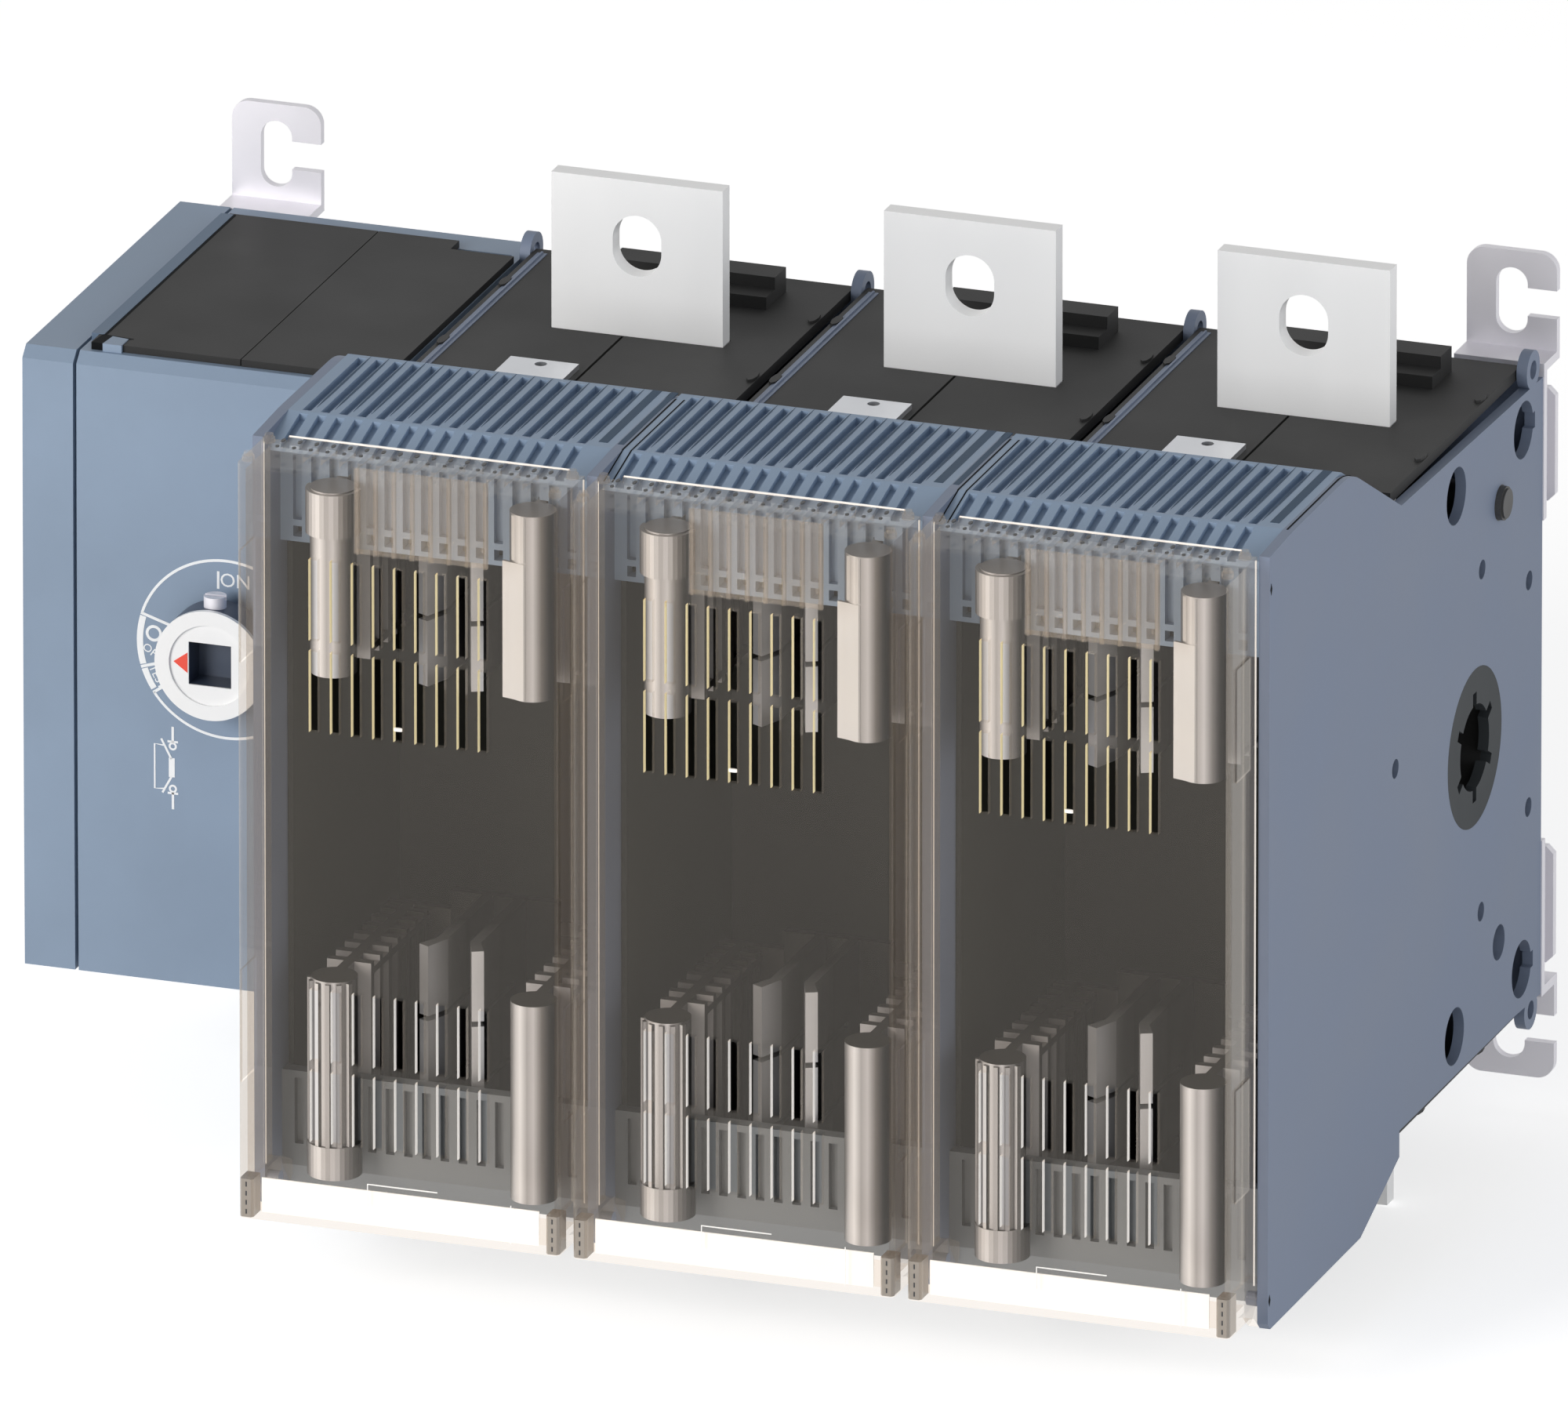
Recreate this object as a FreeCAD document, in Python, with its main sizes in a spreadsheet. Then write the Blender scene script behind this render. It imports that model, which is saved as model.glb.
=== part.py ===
import FreeCAD, Part
import math
import os
import Sketcher
from FreeCAD import Placement, Rotation, Vector

# Three-pole fuse switch disconnector with a side drive unit, in millimetres.
# Every piece is drawn in the row frame: X runs right from the middle of the
# first pole's left wall, Y runs back from the front edge of the walls, and Z
# runs up from mid height. The pieces are then placed so that the part's own
# origin is the middle of the four mounting slots, on the mounting plane.

SIZES = {
    # the row of poles
    "pole_pitch": 95.0,          # middle of wall to middle of wall
    "wall": 3.0,                 # moulded walls of the housings
    "housing_depth": 225.0,      # front edge of the walls to their back
    "stand_off": 13.0,           # back of the housing to the mounting plane
    "rear_half": 90.0,           # half height of the switch housing
    "fuse_top": 113.0,           # top of the fuse housing
    "fuse_bottom": 108.0,        # bottom of the fuse housing, below mid height
    "fuse_depth": 108.0,         # front edge to the back of the fuse housing
    "seat_gap": 0.3,             # between pieces that are fitted by hand
    "shaft_gap": 0.05,           # between a shaft and its bore, on the radius
    # ribbed hoods above and below the fuses
    "ridge_back": 20.0,          # front edge to the ridge of the hood
    "grille_back": 67.0,         # front edge to the back of the ribbed top
    "hood_front": 4.0,           # front edge to the lip of the upper hood
    "apron_front": 13.5,         # front edge to the face of the aprons
    "hood_slope": 4.0,           # drop from the ridge to the front edge
    "hood_skin": 4.2,            # thickness of the ribbed hood
    "hood_round": 26.0,          # radius where the top turns down to the back
    "apron_top": 78.2,           # lower edge of the upper apron
    "window_low": 79.6,          # row of windows under the upper ribs
    "window_high": 82.6,
    "rib_foot": 84.4,            # where the upper apron's ribs end
    "apron_bottom": 73.0,        # upper edge of the lower apron, below mid height
    "lower_lip": 100.0,          # lower front edge of the bay, below mid height
    "wall_lip": 104.0,           # lower front corner of the walls, below mid height
    "panel_lip": 106.0,          # the same corner of the outer side panel
    "rib_pitch": 5.2,
    "rib_gap": 2.5,
    "rib_margin": 3.6,           # plain strip left of the first gap
    "rib_depth": 2.2,
    "ridge_bar": 2.0,            # plain bar left on the ridge
    # rear covers over the terminals
    "cover_skin": 3.0,
    "rear_cover_back": 216.0,
    "seam": 0.8,
    "block_left": 30.0,
    "block_right": 77.0,
    "block_front": 190.0,
    "block_step": 197.0,
    "block_back": 206.0,
    "block_low": 3.6,
    "block_high": 7.0,
    # connecting bars
    "terminal_width": 49.0,
    "terminal_middle": 51.4,
    "terminal_front": 158.0,
    "terminal_thick": 5.5,
    "terminal_reach_up": 137.5,
    "terminal_reach_down": 130.0,
    "terminal_hole_up": 119.0,
    "terminal_hole_down": 111.5,
    "terminal_hole_wide": 13.9,
    "terminal_hole_high": 17.3,
    "support_low": 72.0,         # moulded support behind each terminal
    "support_high": 87.0,
    # fuse bay
    "tray_skin": 1.5,
    "tray_back": 105.0,
    "guard_half": 34.7,          # pole middle to the outside of a finned guard
    "guard_width": 12.6,
    "guard_front": 0.2,
    "guard_fin_pitch": 7.0,
    "guard_fin": 2.4,
    "guard_spine": 3.0,
    "guard_back": 65.0,
    "guard_bridge": 3.0,
    "guard_inner": 41.5,         # mid height to the near end of a lower guard
    "guard_inner_up": 45.4,      # the same of an upper guard
    "guard_outer": 98.0,         # mid height to its far end
    "guard_roof": 2.0,
    "guard_tooth": 1.6,          # the fins stand this far above the roof
    "guard_window": 10.5,        # pole middle to the open back of a guard, on the left
    "guard_bridge_level": 62.0,  # above it, the bridge is closed from comb to comb
    "jaw_gap": 6.4,              # blade of the fuse-link plus its play
    "jaw_plate": 3.0,
    "jaw_front": 20.5,
    "jaw_near": 35.0,            # mid height to the near end of a lower jaw
    "jaw_near_up": 39.2,
    "jaw_far": 95.0,
    "jaw_base": 3.0,
    "bar_thick": 4.0,
    "bar_width": 19.5,
    "bar_left_up": 25.8,
    "bar_left_down": 49.7,
    "bar_level": 56.0,
    "bar_riser": 115.0,
    "bar_end_level": 10.0,
    "tab_reach": 13.6,
    "tab_thick": 1.5,
    "tab_hole": 1.7,
    # switch shaft and moving contacts
    "shaft_back": 169.3,
    "journal": 14.0,             # radius
    "drum": 24.0,                # radius
    "drum_side": 8.0,            # wall middle to the end of the drum
    "finger_reach": 38.0,        # radius of the contact tips
    "bridge_reach": 28.0,        # radius of the bridge between two tips
    "contact_gap": 0.4,
    "contact_width": 14.0,
    "finger_angle": 12.0,
    "switch_travel": 32.0,       # turn of the shaft between off and on
    "shaft_left": 30.0,          # wall middle to the shaft's end in the drive
    "ring_outer": 22.3,
    "ring_bore": 12.0,
    "ring_notch_reach": 15.6,
    "ring_notch_width": 3.0,
    "ring_notches": 6,
    "ring_thick": 3.0,
    "lever_thick": 6.0,
    "lever_reach": 28.0,
    "lever_tip": 7.0,
    # holes of the side panel
    "big_hole": 8.0,
    "big_hole_back": 153.3,
    "big_hole_level": 77.3,
    "key_hole_back": 209.0,
    "key_slot": 4.6,
    "rod": 4.9,
    "rod_back": 190.0,
    "rod_level": 63.0,
    "rod_recess": 8.0,           # the lower rod ends this deep in the panel side
    "small_hole": 2.7,
    "small_hole_back": 175.0,
    "small_hole_level": 49.0,
    "rear_hole_back": 214.2,
    "rear_hole_level": 32.5,
    "mid_hole_back": 103.6,
    "mid_hole_level": 16.5,
    "eye_back": 217.0,
    "eye_level": 91.8,
    "eye_outer": 5.4,
    "eye_bore": 2.6,
    # drive unit
    "drive_width": 104.0,        # left end to the middle of the first wall
    "drive_front": 100.5,
    "drive_bow": 3.5,
    "drive_top": 91.0,
    "drive_bottom": 86.0,
    "drive_skin": 3.0,
    "cap_width": 15.5,
    "cap_groove": 1.0,
    "deck_left": 18.0,           # left end to the edge of the black top covers
    "deck_front": 105.5,
    "deck_back": 215.0,
    "deck_seam": 61.0,           # left end to the seam between the two covers
    "deck_notch_left": 84.0,
    "deck_notch_back": 208.0,
    "hub_left": 45.6,            # first wall back to the hub axis
    "hub_level": 11.4,
    "hub_outer": 15.6,
    "hub_inner": 11.5,
    "hub_dish": 0.8,
    "hub_length": 10.4,
    "hub_socket": 12.2,
    "hub_socket_depth": 9.0,
    "hub_screw": 3.1,
    "hub_screw_rise": 3.0,
    "hub_screw_seat": 2.0,
    "hub_screw_slot": 1.0,
    "spindle": 8.0,
    "spindle_back": 134.0,
    "crank_front": 118.0,
    "crank_thick": 5.0,
    "crank_reach": 20.0,
    "crank_width": 12.0,
    "bearing_front": 128.0,
    "bearing_thick": 4.0,
    "bearing_half": 27.0,
    # mounting feet
    "foot_width": 25.7,
    "foot_thick": 2.5,
    "foot_left_inset": 24.0,     # left end of the drive unit to the slot
    "foot_right_inset": 11.0,    # middle of the last wall to the slot
    "foot_slot_level": 104.0,
    "foot_bend": 88.3,
    "foot_reach": 118.3,
    "foot_strap": 46.0,
    "foot_round": 5.0,
    "slot_radius": 4.5,
    "slot_length": 18.8,
    "slot_mouth": 8.0,
    # fuse covers
    "cover_front": 22.0,         # front edge of the walls out to the cover's face
    "cover_wall": 2.0,
    "cover_top": 112.0,
    "cover_bottom": 103.0,
    "cover_side_gap": 1.8,
    "cover_rear_gap": 0.6,
    "probe_pitch": 6.0,
    "probe_width": 2.6,
    "probe_count": 9,
    "probe_top": 87.0,
    "probe_bottom": 38.0,
    "probe_low_top": 35.5,
    "probe_low_bottom": 79.0,
    "probe_bar": 3.0,
    "hinge_back": 2.6,           # front edge of the walls to the hinge axis
    "hinge_level": 100.0,
    "hinge_pin": 2.0,
    "hinge_eye": 4.2,
    "hinge_arm": 3.2,
    "hook_back": 12.0,           # front edge of the walls to the hook's back
    "hook_rise": 6.5,            # hinge axis to the hook's upper edge
    "hook_drop": 8.0,
    "lip_rise": 1.5,             # raised rear edge of the cover's top
    "lip_left": 9.3,
    "lip_right": 89.0,
    "vent_first": 16.9,          # small slots in the cover's top
    "vent_width": 1.6,
    "vent_front": 11.5,
    "vent_back": 2.9,
    "vent_count": 13,
    "pad_rise": 0.6,             # raised pads on the cover's side walls
    "pad_front": 18.5,
    "pad_back": 7.0,
    "pad_low": 54.0,
    "pad_high": 86.0,
    "pad_drop": 20.5,            # the lower pad sits this much nearer to mid height
}

doc = FreeCAD.newDocument("FuseSwitchDisconnector")
sheet = doc.addObject("Spreadsheet::Sheet", "Dims")


class Size:
    """A length that keeps its value beside the sheet cells it comes from."""

    def __init__(self, value, text):
        self.value = value
        self.text = text

    def __add__(self, other):
        other = as_size(other)
        return Size(self.value + other.value, "(%s + %s)" % (self.text, other.text))

    def __sub__(self, other):
        other = as_size(other)
        return Size(self.value - other.value, "(%s - %s)" % (self.text, other.text))

    def __mul__(self, other):
        other = as_size(other)
        return Size(self.value * other.value, "%s * %s" % (self.text, other.text))

    def __truediv__(self, other):
        other = as_size(other)
        return Size(self.value / other.value, "%s / %s" % (self.text, other.text))

    def __radd__(self, other):
        return as_size(other) + self

    def __rsub__(self, other):
        return as_size(other) - self

    def __rmul__(self, other):
        return as_size(other) * self

    def __neg__(self):
        return as_size(0) - self


def as_size(thing):
    return thing if isinstance(thing, Size) else Size(float(thing), "(%s)" % thing)


class Sizes:
    """The driving dimensions, written to the sheet and read by name."""

    def __init__(self, values):
        for row, (name, number) in enumerate(values.items(), start=1):
            sheet.set("A%d" % row, name)
            sheet.set("B%d" % row, str(number))
            sheet.setAlias("B%d" % row, name)
            setattr(self, name, Size(float(number), "Dims." + name))


d = Sizes(SIZES)
doc.recompute()

POLES = (1, 2, 3)
UP, DOWN = 1, -1
SIDE_NAME = {UP: "upper", DOWN: "lower"}

half_wall = d.wall / 2
pole_left = half_wall
pole_right = d.pole_pitch - half_wall
pole_middle = d.pole_pitch / 2
row_length = len(POLES) * d.pole_pitch
terminal_left = d.terminal_middle - d.terminal_width / 2
apron_back = d.apron_front + d.hood_skin
comb_middle = d.guard_half - d.guard_width / 2
drive_left = -d.drive_width
case_left = drive_left + d.cap_width
hub_x = -d.hub_left
foot_span = d.drive_width + row_length - d.foot_left_inset - d.foot_right_inset
row_x = d.drive_width - d.foot_left_inset - foot_span / 2
row_y = -(d.housing_depth + d.stand_off)


def bind(thing, name, size):
    """Ties one property of a feature to the sheet."""
    thing.setExpression(name, as_size(size).text)


def place(piece, label, shift=0):
    """Gives a finished piece its name and its place in the row."""
    piece.Label = label
    bind(piece, "Placement.Base.x", row_x + shift)
    bind(piece, "Placement.Base.y", row_y)
    pieces.append(piece)
    return piece


pieces = []


def pole_shift(pole):
    return (pole - 1) * d.pole_pitch


# Sketches and the features that use them


def new_body(name):
    return doc.addObject("PartDesign::Body", name)


def new_sketch(body, role, offset=0):
    """An empty sketch on one of the body's own planes, moved along its normal."""
    sketch = body.newObject("Sketcher::SketchObject", body.Name + "_sketch")
    plane = [f for f in body.Origin.OriginFeatures if f.Role == role][0]
    sketch.AttachmentSupport = [(plane, "")]
    sketch.MapMode = "FlatFace"
    bind(sketch, "AttachmentOffset.Base.z", offset)
    return sketch


def pin_point(sketch, curve, end, across, up):
    """Ties one point of a curve to the sketch's origin by two distances."""
    for kind, size in (("DistanceX", across), ("DistanceY", up)):
        size = as_size(size)
        index = sketch.addConstraint(Sketcher.Constraint(kind, -1, 1, curve, end, size.value))
        sketch.setExpression("Constraints[%d]" % index, size.text)


def outline(sketch, points):
    """A closed outline through the given points, anticlockwise.

    A point may carry the axis and place of an arc's centre: the stretch from it
    to the next point is then an arc that bulges outward.
    """
    corners = [Vector(as_size(p[0]).value, as_size(p[1]).value, 0) for p in points]
    count = len(points)
    curves = []
    for n, point in enumerate(points):
        start, end = corners[n], corners[(n + 1) % count]
        if len(point) == 2:
            curves.append((sketch.addGeometry(Part.LineSegment(start, end)), 1, 2))
            continue
        axis, centre_at = point[2]
        chord_middle = (start + end) / 2
        outward = Vector(end.y - start.y, start.x - end.x, 0).normalize()
        away = centre_at.value - (chord_middle.x if axis == "x" else chord_middle.y)
        centre = chord_middle + outward * (away / (outward.x if axis == "x" else outward.y))
        crown = centre + outward * (start - centre).Length
        curve = sketch.addGeometry(Part.Arc(start, crown, end))
        same_way = (sketch.getPoint(curve, 1) - start).Length < 1e-6
        curves.append((curve, 1, 2) if same_way else (curve, 2, 1))
        kind = "DistanceX" if axis == "x" else "DistanceY"
        index = sketch.addConstraint(
            Sketcher.Constraint(kind, -1, 1, curve, 3, centre_at.value))
        sketch.setExpression("Constraints[%d]" % index, centre_at.text)
    for n, (curve, near_end, far_end) in enumerate(curves):
        following, following_end, _ = curves[(n + 1) % count]
        sketch.addConstraint(
            Sketcher.Constraint("Coincident", curve, far_end, following, following_end))
        pin_point(sketch, curve, near_end, points[n][0], points[n][1])
    return sketch


def rectangle(sketch, left, right, low, high):
    return outline(sketch, [(left, low), (right, low), (right, high), (left, high)])


def circle(sketch, across, up, radius):
    across, up, radius = as_size(across), as_size(up), as_size(radius)
    centre = Vector(across.value, up.value, 0)
    curve = sketch.addGeometry(Part.Circle(centre, Vector(0, 0, 1), radius.value))
    index = sketch.addConstraint(Sketcher.Constraint("Radius", curve, radius.value))
    sketch.setExpression("Constraints[%d]" % index, radius.text)
    pin_point(sketch, curve, 3, across, up)
    return sketch


def pad(body, sketch, length, reverse=False):
    feature = body.newObject("PartDesign::Pad", body.Name + "_pad")
    feature.Profile = sketch
    bind(feature, "Length", length)
    feature.Reversed = reverse
    body.Tip = feature
    return feature


def pocket(body, sketch, length, reverse=False):
    feature = body.newObject("PartDesign::Pocket", body.Name + "_pocket")
    feature.Profile = sketch
    bind(feature, "Length", length)
    feature.Reversed = reverse
    body.Tip = feature
    return feature


def slab(body, role, draw, start, length):
    """A pad from one plane of the body to another, in the plane's own direction."""
    sketch = new_sketch(body, role, start)
    draw(sketch)
    return pad(body, sketch, length)


def cut_slab(body, role, draw, start, length):
    """A pocket over the same kind of stretch as slab."""
    sketch = new_sketch(body, role, start)
    draw(sketch)
    return pocket(body, sketch, length, reverse=True)


def repeat(body, feature, role, count, pitch, reverse=False):
    """Repeats a feature at even steps along one axis of the body."""
    pattern = body.newObject("PartDesign::LinearPattern", body.Name + "_row")
    pattern.Originals = [feature]
    axis = [f for f in body.Origin.OriginFeatures if f.Role == role][0]
    pattern.Direction = (axis, [""])
    pattern.Reversed = reverse
    pattern.Mode = "Spacing"
    bind(pattern, "Offset", pitch)
    bind(pattern, "Occurrences", count)
    body.Tip = pattern
    return pattern


def edges_of(feature, wanted):
    """The names of the straight edges whose middle and direction fit."""
    doc.recompute()
    names = []
    for number, edge in enumerate(feature.Shape.Edges, start=1):
        if isinstance(edge.Curve, Part.Line):
            middle = edge.CenterOfMass
            along = edge.tangentAt(edge.FirstParameter)
            if wanted(middle, along):
                names.append("Edge%d" % number)
    return names


def fillet(body, base, radius, wanted):
    feature = body.newObject("PartDesign::Fillet", body.Name + "_round")
    feature.Base = (base, edges_of(base, wanted))
    bind(feature, "Radius", radius)
    body.Tip = feature
    return feature


def near(value, size):
    return abs(value - as_size(size).value) < 0.01


# Plain solids


def box(left, right, front, back, low, high):
    solid = doc.addObject("Part::Box", "box")
    bind(solid, "Length", right - left)
    bind(solid, "Width", back - front)
    bind(solid, "Height", high - low)
    bind(solid, "Placement.Base.x", left)
    bind(solid, "Placement.Base.y", front)
    bind(solid, "Placement.Base.z", low)
    return solid


TURN_TO = {"x": Rotation(Vector(0, 1, 0), 90), "y": Rotation(Vector(1, 0, 0), -90), "z": Rotation()}


def rod(axis, x, y, z, radius, length):
    """A cylinder that starts at a point and runs along X, Y or Z."""
    solid = doc.addObject("Part::Cylinder", "rod")
    bind(solid, "Radius", radius)
    bind(solid, "Height", length)
    solid.Placement = Placement(Vector(0, 0, 0), TURN_TO[axis])
    bind(solid, "Placement.Base.x", x)
    bind(solid, "Placement.Base.y", y)
    bind(solid, "Placement.Base.z", z)
    return solid


def join(solids):
    whole = doc.addObject("Part::MultiFuse", "join")
    whole.Shapes = solids
    whole.Refine = True
    return whole


def cut(base, tools):
    result = doc.addObject("Part::Cut", "cut")
    result.Base = base
    result.Tool = join(tools) if len(tools) > 1 else tools[0]
    result.Refine = True
    return result


# Walls and housings


def band(side, near, far):
    """Two levels, lower one first, for a piece above or below mid height."""
    return (near, far) if side == UP else (-far, -near)


def mirrored(corners, side):
    """Corners above mid height, or turned over to lie below it."""
    if side == UP:
        return corners
    return [(across, -level) for across, level in reversed(corners)]


def wall_outline(front_low):
    """The stepped side view: tall round the fuses, lower round the switch."""

    def draw(sketch):
        outline(sketch, [
            (0, d.fuse_top - d.hood_slope / 4),
            (0, -front_low),
            (d.fuse_bottom - front_low, -d.fuse_bottom),
            (d.grille_back + 3 * d.wall, -d.fuse_bottom),
            (d.fuse_depth, -d.rear_half - 2 * d.wall),
            (d.fuse_depth, -d.rear_half + d.wall / 2),
            (d.housing_depth - 7 * d.wall, -d.rear_half + d.wall / 3),
            (d.housing_depth, -d.rear_half),
            (d.housing_depth, d.rear_half - d.cover_skin),
            (d.fuse_depth, d.rear_half),
            (d.grille_back, d.fuse_top),
            (d.ridge_back, d.fuse_top),
        ])

    return draw


def is_hood_corner(middle, along):
    return near(middle.y, d.grille_back) and near(middle.z, d.fuse_top) and abs(along.x) > 0.9


def add_hinge_pin(body, start):
    slab(body, "YZ_Plane",
         lambda s: circle(s, d.hinge_back, -d.hinge_level, d.hinge_pin),
         start, d.cover_side_gap - half_wall + d.hinge_arm)


def add_wall(body, front_low, shaft_bore, lugs):
    """One upright wall with its lugs, and the bores for shaft and tie rods."""
    wall = slab(body, "YZ_Plane", wall_outline(front_low), -half_wall, d.wall)
    fillet(body, wall, d.hood_round, is_hood_corner)
    for side in lugs:
        slab(body, "YZ_Plane", lambda s: circle(s, d.eye_back, side * d.eye_level, d.eye_outer),
             -half_wall, d.wall)

    def bores(sketch):
        circle(sketch, d.shaft_back, 0, shaft_bore + d.shaft_gap)
        for side in lugs:
            circle(sketch, d.eye_back, side * d.eye_level, d.eye_bore)
        for side in (UP, DOWN):
            circle(sketch, d.rod_back, side * d.rod_level, d.rod + d.shaft_gap)

    cut_slab(body, "YZ_Plane", bores, -half_wall, d.wall)


def pole_housing(pole):
    """A moulded pole housing: left wall, back, terminal supports and hinge pins."""
    body = new_body("pole_housing")
    add_wall(body, d.wall_lip, d.journal, (UP,))
    slab(body, "XZ_Plane",
         lambda s: rectangle(s, pole_left, pole_right, -d.rear_half, d.rear_half - d.cover_skin),
         -d.housing_depth, d.wall)
    bar_back = d.terminal_front + d.terminal_thick
    for side in (UP, DOWN):
        low, high = band(side, d.support_low, d.support_high)
        slab(body, "XZ_Plane",
             lambda s: rectangle(s, terminal_left, terminal_left + d.terminal_width, low, high),
             d.wall - d.housing_depth, d.housing_depth - d.wall - bar_back)
    add_hinge_pin(body, half_wall)
    if pole > POLES[0]:
        add_hinge_pin(body, -d.cover_side_gap - d.hinge_arm)
    return place(body, "pole_housing_%d" % pole, pole_shift(pole))


def side_panel():
    """The outer right wall, with the shaft's end bore and the assembly holes."""
    body = new_body("side_panel")
    add_wall(body, d.panel_lip, d.ring_outer, (UP, DOWN))
    add_hinge_pin(body, -d.cover_side_gap - d.hinge_arm)

    def holes(sketch):
        for side in (UP, DOWN):
            circle(sketch, d.big_hole_back, side * d.big_hole_level, d.big_hole)
            circle(sketch, d.key_hole_back, side * d.big_hole_level, d.big_hole)
            circle(sketch, d.small_hole_back, side * d.small_hole_level, d.small_hole)
            circle(sketch, d.rear_hole_back, side * d.rear_hole_level, d.small_hole)
        circle(sketch, d.mid_hole_back, d.mid_hole_level, d.small_hole)

    def key_slots(sketch):
        for side in (UP, DOWN):
            middle = side * d.big_hole_level
            rectangle(sketch, d.key_hole_back, d.key_hole_back + d.big_hole + d.key_slot / 3,
                      middle - d.key_slot / 2, middle + d.key_slot / 2)

    cut_slab(body, "YZ_Plane", holes, -half_wall, d.wall)
    cut_slab(body, "YZ_Plane", key_slots, -half_wall, d.wall)
    return place(body, "side_panel", row_length)


# Ribbed hoods


def hood(pole, side):
    """A ribbed hood with its front apron: folded skin, recesses between ribs."""
    body = new_body("hood")
    if side == UP:
        top, front, apron = d.fuse_top, d.fuse_top - d.hood_slope, d.apron_top
        lip = d.hood_front
    else:
        top, front, apron = d.fuse_bottom, d.lower_lip, d.apron_bottom
        lip = d.apron_front
    skin = d.hood_skin

    def shell(sketch):
        corners = [
            (d.apron_front, apron),
            (apron_back, apron),
            (apron_back, front - skin),
            (d.ridge_back, top - skin),
            (d.grille_back - skin / 2, top - skin),
            (d.fuse_depth, d.rear_half - skin),
            (d.fuse_depth, d.rear_half),
            (d.grille_back, top),
            (d.ridge_back, top),
            (lip, front),
        ]
        if side == UP:
            corners += [(lip, front - skin / 2), (d.apron_front, front - skin)]
        outline(sketch, mirrored(corners, side))

    def recesses(sketch):
        """Side view of one gap: flat top, slope and apron, over the ribs' depth."""
        depth, edge = d.rib_depth, d.ridge_bar
        face = d.apron_front
        outline(sketch, mirrored([
            (d.ridge_back + edge / 2, top - depth),
            (d.grille_back - edge, top - depth),
            (d.grille_back - edge, top + depth),
            (d.ridge_back + edge / 2, top + depth),
        ], side))
        foot = d.rib_foot if side == UP else apron + edge
        outline(sketch, mirrored([
            (face - depth, foot),
            (face + depth, foot),
            (face + depth, front - skin - edge),
            (face - depth, front - skin - edge),
        ], side))
        if side == UP:
            rectangle(sketch, face, apron_back, d.window_low, d.window_high)
            outline(sketch, [
                (lip - depth, front - skin / 4),
                (lip + edge, front - skin / 4),
                (d.ridge_back - edge / 2, top - depth),
                (d.ridge_back - edge / 2, top + depth),
                (lip - depth, top + depth),
            ])

    slab(body, "YZ_Plane", shell, pole_left, d.pole_pitch - d.wall)
    first = cut_slab(body, "YZ_Plane", recesses, pole_left + d.rib_margin, d.rib_gap)
    room = d.pole_pitch - d.wall - 2 * d.rib_margin
    repeat(body, first, "X_Axis", int(room.value / d.rib_pitch.value + 0.5), d.rib_pitch)

    def guard_slots(sketch):
        """Open slots in the apron that the spines of the contact guard pass."""
        half_slot = d.guard_spine / 2 + d.seat_gap
        low, high = band(side, apron, d.guard_outer + d.seat_gap)
        for way in (1, -1):
            middle = pole_middle + way * comb_middle
            rectangle(sketch, middle - half_slot, middle + half_slot, low, high)

    cut_slab(body, "XZ_Plane", guard_slots, -apron_back, skin)
    return place(body, "%s_hood_%d" % (SIDE_NAME[side], pole), pole_shift(pole))


# Rear covers with the nut block, and the bars that come through them


def rear_cover(pole, side):
    """A black cover between two walls, slotted for the bars, with a nut block."""
    body = new_body("rear_cover")
    gap = d.seat_gap
    low, high = band(side, d.rear_half, d.rear_half + d.cover_skin)

    def plate(sketch):
        rectangle(sketch, pole_left + gap, pole_right - gap, d.fuse_depth + gap, d.rear_cover_back)
        rectangle(sketch, terminal_left - gap, terminal_left + d.terminal_width + gap,
                  d.terminal_front - gap, d.terminal_front + d.terminal_thick + gap)
        if side == UP:
            rectangle(sketch, d.bar_left_up - gap, d.bar_left_up + d.bar_width + gap,
                      d.bar_riser - gap, d.bar_riser + d.tab_thick + gap)

    slab(body, "XY_Plane", plate, low, d.cover_skin)
    groove_low, _ = band(side, d.rear_half + d.cover_skin - d.seam, d.rear_half + d.cover_skin)
    cut_slab(body, "XY_Plane",
             lambda s: rectangle(s, pole_middle - d.seam / 2, pole_middle + d.seam / 2,
                                 d.fuse_depth, d.terminal_front - 2 * gap),
             groove_low, d.seam)
    for front, rise in ((d.block_front, d.block_low), (d.block_step, d.block_high)):
        block_low, _ = band(side, d.rear_half + d.cover_skin, d.rear_half + d.cover_skin + rise)
        slab(body, "XY_Plane",
             lambda s: rectangle(s, d.block_left, d.block_right, front, d.block_back),
             block_low, rise)
    return place(body, "%s_rear_cover_%d" % (SIDE_NAME[side], pole), pole_shift(pole))


def terminal(pole, side):
    """A flat tinned bar with an oblong bolt hole near its outer end."""
    inner = d.finger_reach + d.contact_gap
    reach, hole = ((d.terminal_reach_up, d.terminal_hole_up) if side == UP
                   else (d.terminal_reach_down, d.terminal_hole_down))
    low, high = band(side, inner, reach)
    front, back = d.terminal_front, d.terminal_front + d.terminal_thick
    bar = box(terminal_left, terminal_left + d.terminal_width, front, back, low, high)
    radius = d.terminal_hole_wide / 2
    half_run = (d.terminal_hole_high - d.terminal_hole_wide) / 2
    level = side * hole
    ends = [rod("y", d.terminal_middle, front, level + way * half_run, radius, d.terminal_thick)
            for way in (UP, DOWN)]
    waist = box(d.terminal_middle - radius, d.terminal_middle + radius, front, back,
                level - half_run, level + half_run)
    name = "line_terminal_%d" if side == UP else "load_terminal_%d"
    return place(cut(bar, ends + [waist]), name % pole, pole_shift(pole))


# Fuse bay: dark tray, finned guards and spring contacts


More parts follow.
